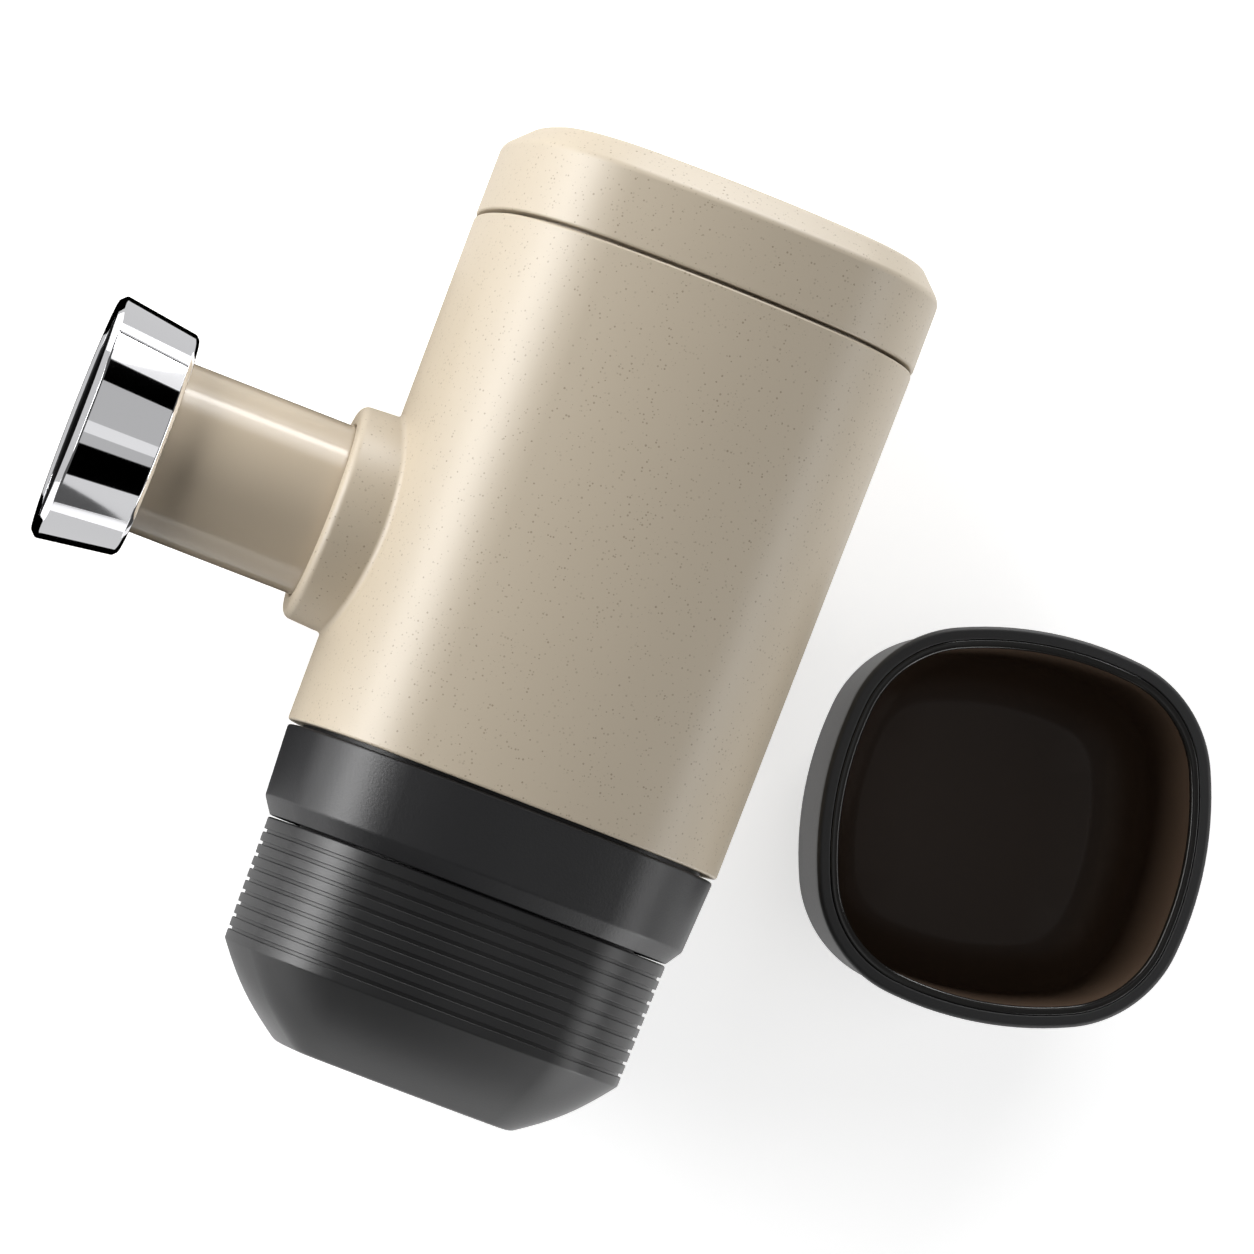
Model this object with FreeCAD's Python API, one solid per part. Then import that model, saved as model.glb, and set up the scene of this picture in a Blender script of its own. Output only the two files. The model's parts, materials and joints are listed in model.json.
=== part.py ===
import FreeCAD, Part
import math
import os
from FreeCAD import Vector

# A handheld manual espresso maker that lies on its side, with its cup standing beside it.
# Every piece of the maker is drawn upright: Z runs from the flat of the water tank to the cap,
# the pump's piston points to -X, and the side that faces up on the table is -Y.
# Every piece of the cup is drawn upright about its own Z axis, with its foot at zero.
# All sizes are millimetres.

# Shared clearances
RUNNING_GAP = 0.08
MOVING_GAP = 0.3
SNUG_GAP = 0.05
EDGE_BREAK = 0.4

# Outer form of the maker: a rounded square with a short flat in the middle of each side
FLAT_HALF = 8.0
BODY_HALF_HIGH = 33.35
BODY_DRAFT = 0.65
BODY_HALF_LOW = BODY_HALF_HIGH - BODY_DRAFT
BODY_HEIGHT = 77.5
SHELL_WALL = 2.4
SEAM_GAP = 0.6
CAP_SEAM_GAP = 0.5

# Black band between the tank and the body, set in a little from the body
BAND_HEIGHT = 13.2
BAND_STEP_IN = 0.3
BAND_LEAN = 0.6
BAND_CHAMFER = 2.4
BAND_CHAMFER_REACH = 1.6
BAND_HALF_HIGH = BODY_HALF_LOW - BAND_STEP_IN
BAND_HALF_MID = BAND_HALF_HIGH - BAND_LEAN
BAND_HALF_LOW = BAND_HALF_MID - BAND_CHAMFER_REACH
BAND_WALL = 2.0
BAND_WEB = 2.1
BAND_RING_WALL = 2.2
SPIGOT_HEIGHT = 4.6
SPIGOT_WALL = 1.8

# Water tank, whose side continues the band's foot
TANK_HEIGHT = 29.8
TANK_STEP_OUT = 0.1
TANK_DRAFT = 0.35
TANK_HALF_HIGH = BAND_HALF_LOW + TANK_STEP_OUT
TANK_HALF_LOW = TANK_HALF_HIGH - TANK_DRAFT
TANK_DOME_RUN = 11.95
TANK_FOOT_HALF = TANK_HALF_LOW - TANK_DOME_RUN
TANK_DOME_HEIGHT = 11.3
TANK_DOME_BULGE = 0.8
TANK_WALL = 2.2
TANK_FLOOR = 2.6
RIB_PITCH = 1.85
RIB_TOP_LAND = 1.8
GROOVE_COUNT = 9
GROOVE_WIDTH = 0.5
GROOVE_DEPTH = 0.5
NECK_INSET = 3.8
NECK_RADIUS = BAND_HALF_LOW - NECK_INSET
NECK_WALL = 2.2
NECK_HEIGHT = 10.2
CORE_HALF = 10.0
TANK_SEAL_THICK = 0.9

# Push-on cap
CAP_HEIGHT = 14.1
CAP_CHAMFER = 3.6
CAP_CHAMFER_ROUND = 1.6
CAP_TOP_PLATE = 2.6
CAP_SKIRT_DEPTH = 6.4
CAP_SKIRT_WALL = 1.7
CAP_SEAL_HEIGHT = 1.6
CAP_SEAL_DEPTH = 0.8
CAP_SEAL_DROP = 2.6

# Side pump: its axis lies along X
PUMP_HEIGHT = 29.6
COLLAR_RADIUS = 16.3
COLLAR_PROUD = 5.75
COLLAR_REACH = BODY_HALF_HIGH + COLLAR_PROUD
COLLAR_ROUND = 1.4
COLLAR_STUB_IN = 9.35
COLLAR_STUB_END = BODY_HALF_HIGH - COLLAR_STUB_IN
COLLAR_LIP = 1.1
SLEEVE_RADIUS = 12.9
SLEEVE_WALL = 1.8
SLEEVE_SHOWN = 25.2
SLEEVE_STOP_RADIUS = 14.2
SLEEVE_STOP_THICK = 1.8
BUSH_WALL = 1.7
BUSH_FLANGE = 2.0
WIPER_WIDTH = 1.3
PLUG_THICK = 4.0
ROD_RADIUS = 3.0
CYLINDER_BORE_RADIUS = 6.0
CYLINDER_WALL = 2.2
CYLINDER_MOUTH_IN = 6.1
CYLINDER_MOUTH = COLLAR_REACH - CYLINDER_MOUTH_IN
CYLINDER_BOTTOM = 3.0
GLAND_WALL = 0.65
GLAND_END = 2.0
GLAND_GRIP = 3.0
PISTON_HEAD_IN = 12.0
PISTON_HEAD_FRONT = CYLINDER_MOUTH - PISTON_HEAD_IN
STROKE_SPARE = 2.0
PUMP_STROKE = PISTON_HEAD_FRONT + CYLINDER_BOTTOM - STROKE_SPARE
PISTON_HEAD_LENGTH = 6.0
PISTON_SEAL_SECTION = 0.6
ROD_IN_HEAD = 3.0
ROD_SEAL_THICK = 1.5
SPRING_WIRE = 1.1
SPRING_TURNS = 11
SPRING_SEAT_THICK = 1.1
SPRING_PLAY = 0.45

# Valve block behind the pump cylinder
BLOCK_START = 5.5
BLOCK_LENGTH = 14.0
BLOCK_HALF_WIDTH = 9.0
BLOCK_BELOW_AXIS = 13.5
BLOCK_ABOVE_AXIS = 13.5
BLOCK_ROUND = 2.0
CHEEK_THICK = 2.6
FOOT_HALF_WIDTH = 13.5
FOOT_THICK = 2.5
VALVE_POCKET_RADIUS = 4.0
PASSAGE_RADIUS = 1.5
VALVE_FLANGE = 1.0
VALVE_HEIGHT = 4.6
VALVE_BODY_RADIUS = 2.4
VALVE_LIP_HALF = 0.45
VALVE_SLIT = 0.2
VALVE_ROOM = 5.8

# Suction side
BULKHEAD_THICK = 2.3
FITTING_PLUG_BELOW = 3.0
FITTING_SPIGOT = 6.0
TUBE_RADIUS = 3.0
TUBE_WALL = 1.0
TUBE_FOOT = 8.4
GROMMET_FLANGE = 1.2
GROMMET_WALL = 1.1
GROMMET_LIP = 1.0
STRAINER_WALL = 1.35
STRAINER_LENGTH = 8.2
STRAINER_FLOOR = 1.2
STRAINER_SLOTS = 6
STRAINER_SLOT_WIDTH = 1.2
STRAINER_SLOT_HEIGHT = 2.6
AIR_VALVE_OFFSET = 15.0
AIR_VALVE_STEM = 1.4
AIR_VALVE_CAP = 3.5
AIR_VALVE_CAP_THICK = 1.0
AIR_VALVE_BULB = 2.0

# Brew chamber, basket and head
DECK_HEIGHT = 46.2
DECK_THICK = 2.4
DECK_HOLE_RADIUS = 20.0
DECK_LEDGE = 1.0
DECK_LEDGE_HEIGHT = 1.0
CHAMBER_FLANGE_RADIUS = 26.5
CHAMBER_FLANGE = 2.4
CHAMBER_RADIUS = 21.5
CHAMBER_WALL = 2.2
CHAMBER_HEIGHT = 20.1
CHAMBER_FLOOR = 3.0
CHAMBER_RECESS = 1.2
CHAMBER_LEDGE = 1.8
OUTLET_PLUG_LENGTH = 4.0
SCREEN_THICK = 0.6
SCREEN_HOLE_RADIUS = 0.7
SCREEN_RINGS = 3
SCREEN_RING_STEP = 5.0
SCREEN_HOLES_PER_RING = 6
BASKET_WALL = 0.6
BASKET_FLANGE_OVER = 0.3
BASKET_SEAL_THICK = 1.2
HEAD_RADIUS = 25.2
HEAD_SKIRT_BELOW = 16.0
HEAD_TOP_PLATE = 3.2
HEAD_THREAD_GAP = 0.4
HEAD_ROUND = 1.6
FLUTE_COUNT = 20
FLUTE_RADIUS = 2.2
FLUTE_DEPTH = 0.7
NOZZLE_FLANGE_RADIUS = 7.0
NOZZLE_FLANGE = 1.2
NOZZLE_RADIUS = 4.5
NOZZLE_TIP_RADIUS = 3.6
NOZZLE_LENGTH = 4.8
NOZZLE_BORE = 2.2
JET_RADIUS = 0.7
JET_OFFSET = 1.3

# Screws: one size of shank and head for all of them
SCREW_SHANK = 1.2
SCREW_HEAD_RADIUS = 1.9
SCREW_HEAD = 1.6
SCREW_LENGTH = 12.8
PILOT_RADIUS = 1.25
SCREW_HOLE = 1.4
POST_RADIUS = 2.6
POST_HEIGHT = 17.0
POST_IN_WALL = 0.25
CORNER_POST_OFFSET = FLAT_HALF + (
    BODY_HALF_LOW - SHELL_WALL - FLAT_HALF - POST_RADIUS + POST_IN_WALL) / math.sqrt(2)
CHAMBER_SCREW_OFFSET = 16.9
CHAMBER_POST_HEIGHT = 6.5
SHORT_SCREW_LENGTH = 5.6
FOOT_SCREW_SIDE = 11.2
FOOT_SCREW_INSET = 2.8
FOOT_BOSS = 1.6

# Knob on the outer end of the piston
KNOB_LENGTH = 12.6
KNOB_RADIUS_INNER = 16.9
KNOB_RADIUS_OUTER = 18.5
KNOB_WALL = 2.3
KNOB_BACK_WALL = 2.0
KNOB_BACK_BEVEL = 1.2
KNOB_RIM_BEVEL = 0.9
KNOB_RIM_WIDTH = 1.0
KNOB_CORE_END = 8.6
INSERT_THICK = 1.8
INSERT_RINGS = 3
INSERT_RING_STEP = 3.8
INSERT_RING_WIDTH = 0.7
INSERT_RING_DEPTH = 0.5
KNOB_SCREW_HEAD_RADIUS = 3.0
KNOB_SCREW_HEAD = 1.8
KNOB_SCREW_SHANK = 1.25
KNOB_SCREW_IN_ROD = 8.0

# Cup
CUP_FLAT_HALF = 6.0
CUP_HEIGHT = 36.0
CUP_NEST_GAP = 1.5
CUP_RIM_HALF = BODY_HALF_LOW - SHELL_WALL - CUP_NEST_GAP
CUP_LIP_HEIGHT = 1.8
CUP_LIP_STEP = 0.45
CUP_WAIST_HEIGHT = 14.0
CUP_DRAFT = 1.3
CUP_WAIST_HALF = CUP_RIM_HALF - CUP_DRAFT
CUP_BOWL_RUN = 7.5
CUP_BASE_HALF = CUP_WAIST_HALF - CUP_BOWL_RUN
CUP_BOWL_BULGE = 2.3
CUP_SHELL_WALL = 1.4
CUP_LINER_WALL = 1.2
CUP_FLOOR = 1.6
CUP_FOOT_HEIGHT = 0.8
CUP_FOOT_WIDTH = 2.4
CUP_FOOT_INSET = 1.2
CUP_CORE_HALF = 8.0

# Where the cup stands beside the lying maker, and how far it is turned
CUP_GAP = 9.45
CUP_AWAY = BODY_HALF_HIGH + CUP_GAP + CUP_RIM_HALF
CUP_ALONG = 66.8
CUP_TURN = 10.0

# Heights that follow from the sizes above
BAND_BOTTOM = TANK_HEIGHT + MOVING_GAP
BAND_TOP = BAND_BOTTOM + BAND_HEIGHT
BODY_BOTTOM = BAND_TOP + SEAM_GAP
BODY_TOP = BODY_BOTTOM + BODY_HEIGHT
CAP_BOTTOM = BODY_TOP + CAP_SEAM_GAP
CAP_TOP = CAP_BOTTOM + CAP_HEIGHT
WEB_BOTTOM = BAND_TOP - BAND_WEB
NECK_TOP = TANK_HEIGHT + NECK_HEIGHT
BULKHEAD_TOP = BAND_TOP + BULKHEAD_THICK
PUMP_Z = BODY_BOTTOM + PUMP_HEIGHT
DECK_BOTTOM = BODY_BOTTOM + DECK_HEIGHT
DECK_TOP = DECK_BOTTOM + DECK_THICK
BLOCK_BOTTOM = PUMP_Z - BLOCK_BELOW_AXIS
BLOCK_TOP = PUMP_Z + BLOCK_ABOVE_AXIS
CHAMBER_TOP = DECK_TOP + CHAMBER_HEIGHT
SCREEN_Z = DECK_TOP + CHAMBER_FLOOR + CHAMBER_RECESS
BASKET_BOTTOM = SCREEN_Z + SCREEN_THICK + SNUG_GAP
BASKET_RIM_TOP = CHAMBER_TOP + BASKET_WALL
BASKET_SEAL_BOTTOM = BASKET_RIM_TOP + RUNNING_GAP
HEAD_SCREEN_Z = BASKET_SEAL_BOTTOM + BASKET_SEAL_THICK + RUNNING_GAP
HEAD_CEILING = HEAD_SCREEN_Z + SCREEN_THICK + SNUG_GAP
HEAD_TOP = HEAD_CEILING + HEAD_TOP_PLATE

# Places along the pump that follow from the sizes above, with X growing into the body
BUSH_END = -COLLAR_STUB_END + BUSH_FLANGE
SLEEVE_STOP = BUSH_END + MOVING_GAP
SLEEVE_END = SLEEVE_STOP + SLEEVE_STOP_THICK
SLEEVE_START = -COLLAR_REACH - SLEEVE_SHOWN
KNOB_END = SLEEVE_START - KNOB_LENGTH
SLEEVE_BORE = SLEEVE_RADIUS - SLEEVE_WALL
COLLAR_BORE = SLEEVE_RADIUS + RUNNING_GAP + BUSH_WALL
CYLINDER_RADIUS = CYLINDER_BORE_RADIUS + CYLINDER_WALL
VALVE_X = BLOCK_START + BLOCK_LENGTH / 2
SPRING_END = BLOCK_START - SPRING_SEAT_THICK
PLUG_END = SLEEVE_START + PLUG_THICK
HEAD_BACK = -PISTON_HEAD_FRONT - PISTON_HEAD_LENGTH

# The table frame: the maker lies along Y, the cup stands on the same table
CUP_REACH = CUP_RIM_HALF - CUP_FLAT_HALF + CUP_FLAT_HALF * (
    math.cos(math.radians(CUP_TURN)) + math.sin(math.radians(CUP_TURN)))
MID_ACROSS = (CUP_AWAY + CUP_REACH + KNOB_END) / 2
MID_ALONG = CAP_TOP / 2
AXIS_ABOVE_TABLE = BODY_HALF_HIGH


def via(x, z):
    """A point that an arc passes through on its way to the next corner."""
    return ("via", x, z)


def bulged(start, end, bulge):
    """The middle point of an arc from start to end that swells by bulge to the right of its run."""
    run = Vector(end[0] - start[0], 0, end[1] - start[1])
    side = Vector(run.z, 0, -run.x).normalize() * bulge
    middle = Vector((start[0] + end[0]) / 2, 0, (start[1] + end[1]) / 2) + side
    return via(middle.x, middle.z)


def corner_cut(before, corner, after, radius):
    """The two tangent points and the middle of the arc that rounds one corner."""
    to_before = (before - corner).normalize()
    to_after = (after - corner).normalize()
    half_angle = to_before.getAngle(to_after) / 2
    reach = radius / math.tan(half_angle)
    inward = (to_before + to_after).normalize()
    middle = corner + inward * (radius / math.sin(half_angle) - radius)
    return corner + to_before * reach, middle, corner + to_after * reach


def outline(points):
    """A closed wire in the XZ plane through (x, z), (x, z, corner radius) and via(x, z)."""
    spots = [Vector(p[-2], 0, p[-1]) if p[0] == "via" else Vector(p[0], 0, p[1]) for p in points]
    count = len(points)
    entries, exits, edges = {}, {}, []
    for i, point in enumerate(points):
        if point[0] == "via":
            continue
        entries[i] = exits[i] = spots[i]
        if len(point) == 3:
            start, middle, end = corner_cut(spots[i - 1], spots[i], spots[(i + 1) % count], point[2])
            entries[i], exits[i] = start, end
            edges.append(Part.Arc(start, middle, end).toShape())
    for i in entries:
        step = (i + 1) % count
        if points[step][0] == "via":
            target = (i + 2) % count
            edges.append(Part.Arc(exits[i], spots[step], entries[target]).toShape())
        elif exits[i].distanceToPoint(entries[step]) > SNUG_GAP / 100:
            edges.append(Part.LineSegment(exits[i], entries[step]).toShape())
    return Part.Wire(Part.__sortEdges__(edges))


def rounded_square(half, flat, z=0.0):
    """A rounded square wire whose sides are straight for flat each way from their middle."""
    radius = half - flat
    edges = []
    for quarter in range(4):
        side = Part.LineSegment(Vector(half, -flat, z), Vector(half, flat, z)).toShape()
        spots = []
        for degrees in (0, 45, 90):
            turn = math.radians(degrees)
            spots.append(Vector(flat + radius * math.cos(turn), flat + radius * math.sin(turn), z))
        for edge in (side, Part.Arc(*spots).toShape()):
            edge.rotate(Vector(), Vector(0, 0, 1), 90 * quarter)
            edges.append(edge)
    return Part.Wire(edges)


def swept(points, path_half, flat=FLAT_HALF):
    """A wall section, given by half width and height, carried round a rounded square."""
    section = outline(points)
    section.translate(Vector(0, -flat, 0))
    return rounded_square(path_half, flat).makePipeShell([section], True, True)


def plate(half, bottom, top, flat=FLAT_HALF):
    """A flat rounded square plate."""
    return Part.Face(rounded_square(half, flat, bottom)).extrude(Vector(0, 0, top - bottom))


def turned(points):
    """A solid turned about the Z axis from a section of radii and heights."""
    return Part.Face(outline(points)).revolve(Vector(), Vector(0, 0, 1), 360)


def tube(outer, inner, bottom, top):
    """A plain round tube on the Z axis."""
    return disc(outer, bottom, top).cut(disc(inner, bottom, top))


def disc(radius, bottom, top, x=0.0, y=0.0):
    """A plain round disc or rod parallel to Z."""
    return Part.makeCylinder(radius, top - bottom, Vector(x, y, bottom))


def along_pump(shape):
    """A piece drawn about Z, laid on the pump's axis so that its heights become places in X."""
    laid = shape.copy()
    laid.rotate(Vector(), Vector(0, 1, 0), 90)
    laid.translate(Vector(0, 0, PUMP_Z))
    return laid


def box(x0, x1, y0, y1, z0, z1):
    """A box between two corners."""
    return Part.makeBox(x1 - x0, y1 - y0, z1 - z0, Vector(x0, y0, z0))


def corners(offset, y_offset=None):
    """The four places at plus and minus offset, from the right rear round to the right front."""
    side = offset if y_offset is None else y_offset
    return [(offset, side), (-offset, side), (-offset, -side), (offset, -side)]


def body_half_at(z):
    """Half the outer width of the body at a height, which grows a little towards the cap."""
    share = (z - BODY_BOTTOM) / BODY_HEIGHT
    return BODY_HALF_LOW + (BODY_HALF_HIGH - BODY_HALF_LOW) * share


def screw_up(x, y, head_bottom, length):
    """A pan head screw that points up from the underside of what it holds."""
    head = disc(SCREW_HEAD_RADIUS, head_bottom, head_bottom + SCREW_HEAD, x, y)
    return head.fuse(disc(SCREW_SHANK, head_bottom + SCREW_HEAD, head_bottom + SCREW_HEAD + length, x, y))


def screw_down(x, y, seat, length):
    """A pan head screw that points down, with its head resting on seat."""
    head = disc(SCREW_HEAD_RADIUS, seat, seat + SCREW_HEAD, x, y)
    return head.fuse(disc(SCREW_SHANK, seat - length, seat, x, y))


# Water tank

def tank_ribs():
    """The grooves that leave the grip ribs, from the lowest up, on the tank's slightly leaning side."""
    points = []
    lowest = TANK_HEIGHT - RIB_TOP_LAND - GROOVE_WIDTH - (GROOVE_COUNT - 1) * RIB_PITCH
    lean = (TANK_HALF_HIGH - TANK_HALF_LOW) / (TANK_HEIGHT - TANK_DOME_HEIGHT)
    for index in range(GROOVE_COUNT):
        start = lowest + index * RIB_PITCH
        end = start + GROOVE_WIDTH
        for z, depth in ((start, 0), (start, GROOVE_DEPTH), (end, GROOVE_DEPTH), (end, 0)):
            points.append((TANK_HALF_LOW + lean * (z - TANK_DOME_HEIGHT) - depth, z))
    return points


def water_tank():
    foot = (TANK_FOOT_HALF, 0)
    crease = (TANK_HALF_LOW, TANK_DOME_HEIGHT)
    inner_high = TANK_HALF_HIGH - TANK_WALL - GROOVE_DEPTH
    inner_crease = (inner_high, TANK_DOME_HEIGHT + EDGE_BREAK)
    inner_foot = (TANK_FOOT_HALF - TANK_WALL, TANK_FLOOR)
    section = [(CORE_HALF, 0), foot, bulged(foot, crease, TANK_DOME_BULGE), crease]
    section += tank_ribs()
    section += [(TANK_HALF_HIGH, TANK_HEIGHT), (inner_high, TANK_HEIGHT), inner_crease,
                bulged(inner_crease, inner_foot, -TANK_DOME_BULGE), inner_foot, (CORE_HALF, TANK_FLOOR)]
    tank = swept(section, TANK_HALF_HIGH).fuse(plate(CORE_HALF, 0, TANK_FLOOR))
    tank = tank.fuse(plate(inner_high, TANK_HEIGHT - TANK_WALL, TANK_HEIGHT))
    tank = tank.fuse(disc(NECK_RADIUS, TANK_HEIGHT - TANK_WALL, NECK_TOP))
    return tank.cut(disc(NECK_RADIUS - NECK_WALL, TANK_HEIGHT - TANK_WALL, NECK_TOP))


def tank_seal():
    bottom = NECK_TOP + RUNNING_GAP
    return tube(NECK_RADIUS, NECK_RADIUS - NECK_WALL + MOVING_GAP, bottom, bottom + TANK_SEAL_THICK)


# Black band with the threaded ring that takes the tank

def base_collar():
    section = [(BAND_HALF_LOW, BAND_BOTTOM), (BAND_HALF_MID, BAND_BOTTOM + BAND_CHAMFER, 1.0),
               (BAND_HALF_HIGH, BAND_TOP - EDGE_BREAK), (BAND_HALF_HIGH - EDGE_BREAK, BAND_TOP),
               (BAND_HALF_HIGH - BAND_WALL, BAND_TOP),
               (BAND_HALF_MID - BAND_WALL, BAND_BOTTOM + BAND_CHAMFER),
               (BAND_HALF_LOW - BAND_WALL, BAND_BOTTOM)]
    band = swept(section, BAND_HALF_MID)
    band = band.fuse(plate(BAND_HALF_HIGH - BAND_WALL, WEB_BOTTOM, BAND_TOP))
    bore = NECK_RADIUS + MOVING_GAP
    band = band.fuse(disc(bore + BAND_RING_WALL, BAND_BOTTOM + BAND_CHAMFER, WEB_BOTTOM))
    band = band.cut(disc(bore, BAND_BOTTOM, WEB_BOTTOM))
    band = band.cut(disc(NECK_RADIUS - NECK_WALL, WEB_BOTTOM, BAND_TOP))
    band = band.fuse(collar_spigot())
    for x, y in corners(CORNER_POST_OFFSET):
        band = band.cut(disc(SCREW_HOLE, WEB_BOTTOM, BAND_TOP, x, y))
    return band


def collar_spigot():
    """The upright rim inside the body, left out where the screw posts stand."""
    outer = BODY_HALF_LOW - SHELL_WALL - SNUG_GAP
    top = BAND_TOP + SPIGOT_HEIGHT
    inner = outer - SPIGOT_WALL
    rim = swept([(outer, BAND_TOP), (outer, top), (inner, top), (inner, BAND_TOP)], outer)
    for x, y in corners(CORNER_POST_OFFSET):
        rim = rim.cut(disc(POST_RADIUS + MOVING_GAP, BAND_TOP, top, x, y))
    return rim


def collar_screws():
    head_bottom = WEB_BOTTOM - SCREW_HEAD
    places = corners(CORNER_POST_OFFSET)
    return Part.makeCompound([screw_up(x, y, head_bottom, SCREW_LENGTH) for x, y in places])


# Body shell

def shell_wall():
    low, high = BODY_HALF_LOW, BODY_HALF_HIGH
    section = [(low - EDGE_BREAK, BODY_BOTTOM), (low, BODY_BOTTOM + EDGE_BREAK),
               (high, BODY_TOP - EDGE_BREAK), (high - EDGE_BREAK, BODY_TOP),
               (high - SHELL_WALL, BODY_TOP), (low - SHELL_WALL, BODY_BOTTOM)]
    return swept(section, low)


def deck_ledge():
    """The small ledge inside the wall that the brew deck sits on."""
    wall = body_half_at(DECK_BOTTOM) - SHELL_WALL + EDGE_BREAK
    edge = wall - EDGE_BREAK - DECK_LEDGE
    foot = DECK_BOTTOM - DECK_LEDGE_HEIGHT
    return swept([(edge, foot), (edge, DECK_BOTTOM), (wall, DECK_BOTTOM),
                  (wall, foot - DECK_LEDGE - EDGE_BREAK)], wall)


def brew_deck():
    """The inner floor that carries the brew chamber, with a screw post under each corner."""
    deck = plate(body_half_at(DECK_BOTTOM) - SHELL_WALL - SNUG_GAP, DECK_BOTTOM, DECK_TOP)
    deck = deck.cut(disc(DECK_HOLE_RADIUS, DECK_BOTTOM, DECK_TOP))
    for x, y in corners(CHAMBER_SCREW_OFFSET):
        deck = deck.fuse(disc(POST_RADIUS, DECK_BOTTOM - CHAMBER_POST_HEIGHT, DECK_BOTTOM, x, y))
        deck = deck.cut(disc(PILOT_RADIUS, DECK_BOTTOM - CHAMBER_POST_HEIGHT, DECK_TOP, x, y))
    return deck


def pump_collar():
    """The round collar that the piston comes out of, drawn about Z."""
    lip_start = -COLLAR_REACH
    section = [(0, lip_start), (COLLAR_RADIUS, lip_start, COLLAR_ROUND), (COLLAR_RADIUS, -COLLAR_STUB_END),
               (0, -COLLAR_STUB_END)]
    return along_pump(turned(section))


def collar_hollow():
    """The space inside the collar: the mouth for the sleeve and the seat of the guide bush."""
    mouth = disc(SLEEVE_RADIUS + MOVING_GAP, -COLLAR_REACH, 0)
    seat = disc(COLLAR_BORE + SNUG_GAP, -COLLAR_REACH + COLLAR_LIP, -COLLAR_STUB_END)
    return along_pump(mouth.fuse(seat))


def body_shell():
    shell = shell_wall().fuse(deck_ledge()).fuse(pump_collar()).cut(collar_hollow())
    for x, y in corners(CORNER_POST_OFFSET):
        shell = shell.fuse(disc(POST_RADIUS, BODY_BOTTOM, BODY_BOTTOM + POST_HEIGHT, x, y))
        shell = shell.cut(disc(PILOT_RADIUS, BODY_BOTTOM, BODY_BOTTOM + POST_HEIGHT - EDGE_BREAK, x, y))
    return shell


# Cap

def cap_skirt():
    """The part of the cap that goes down inside the body, with the groove of its seal."""
    outer = BODY_HALF_HIGH - SHELL_WALL - EDGE_BREAK
    inner = outer - CAP_SKIRT_WALL
    bottom = CAP_BOTTOM - CAP_SKIRT_DEPTH
    groove_top = CAP_BOTTOM - CAP_SEAL_DROP
    groove = groove_top - CAP_SEAL_HEIGHT
    floor = outer - CAP_SEAL_DEPTH
    section = [(inner, bottom), (outer - EDGE_BREAK, bottom), (outer, bottom + EDGE_BREAK),
               (outer, groove), (floor, groove), (floor, groove_top), (outer, groove_top),
               (outer, CAP_BOTTOM), (inner, CAP_BOTTOM)]
    return swept(section, outer)


def top_cap():
    half = BODY_HALF_HIGH
    wall = half - SHELL_WALL - EDGE_BREAK - CAP_SKIRT_WALL
    ceiling = CAP_TOP - CAP_TOP_PLATE
    section = [(half - EDGE_BREAK, CAP_BOTTOM), (half, CAP_BOTTOM + EDGE_BREAK),
               (half, CAP_TOP - CAP_CHAMFER, CAP_CHAMFER_ROUND),
               (half - CAP_CHAMFER, CAP_TOP, CAP_CHAMFER_ROUND),
               (CORE_HALF, CAP_TOP), (CORE_HALF, ceiling), (wall - CAP_CHAMFER, ceiling),
               (wall, ceiling - CAP_CHAMFER), (wall, CAP_BOTTOM)]
    return swept(section, half).fuse(plate(CORE_HALF, ceiling, CAP_TOP)).fuse(cap_skirt())


def cap_seal():
    floor = BODY_HALF_HIGH - SHELL_WALL - EDGE_BREAK - CAP_SEAL_DEPTH + SNUG_GAP
    proud = floor + CAP_SEAL_DEPTH
    top = CAP_BOTTOM - CAP_SEAL_DROP - SNUG_GAP
    bottom = top - CAP_SEAL_HEIGHT + 2 * SNUG_GAP
    return swept([(floor, bottom), (proud, bottom, 0.3), (proud, top, 0.3), (floor, top)], proud)


# Bulkhead over the tank, and what passes through it

def foot_screw_places():
    back, front = BLOCK_START + FOOT_SCREW_INSET, BLOCK_START + BLOCK_LENGTH - FOOT_SCREW_INSET
    return [(x, y) for x in (back, front) for y in (FOOT_SCREW_SIDE, -FOOT_SCREW_SIDE)]


def bulkhead():
    radius = BODY_HALF_LOW - SHELL_WALL - SPIGOT_WALL - 2 * SNUG_GAP
    sheet = disc(radius, BAND_TOP, BULKHEAD_TOP)
    for x, y in foot_screw_places():
        sheet = sheet.fuse(disc(POST_RADIUS, BAND_TOP - FOOT_BOSS, BAND_TOP, x, y))
        sheet = sheet.cut(disc(PILOT_RADIUS, BAND_TOP - FOOT_BOSS, BULKHEAD_TOP, x, y))
    hole = TUBE_RADIUS + RUNNING_GAP + GROMMET_WALL + SNUG_GAP
    sheet = sheet.cut(disc(hole, BAND_TOP, BULKHEAD_TOP, VALVE_X))
    return sheet.cut(disc(AIR_VALVE_STEM + SNUG_GAP, BAND_TOP, BULKHEAD_TOP, -AIR_VALVE_OFFSET))


def bulkhead_screws():
    seat = BULKHEAD_TOP + FOOT_THICK
    return Part.makeCompound([screw_down(x, y, seat, SHORT_SCREW_LENGTH) for x, y in foot_screw_places()])


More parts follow.
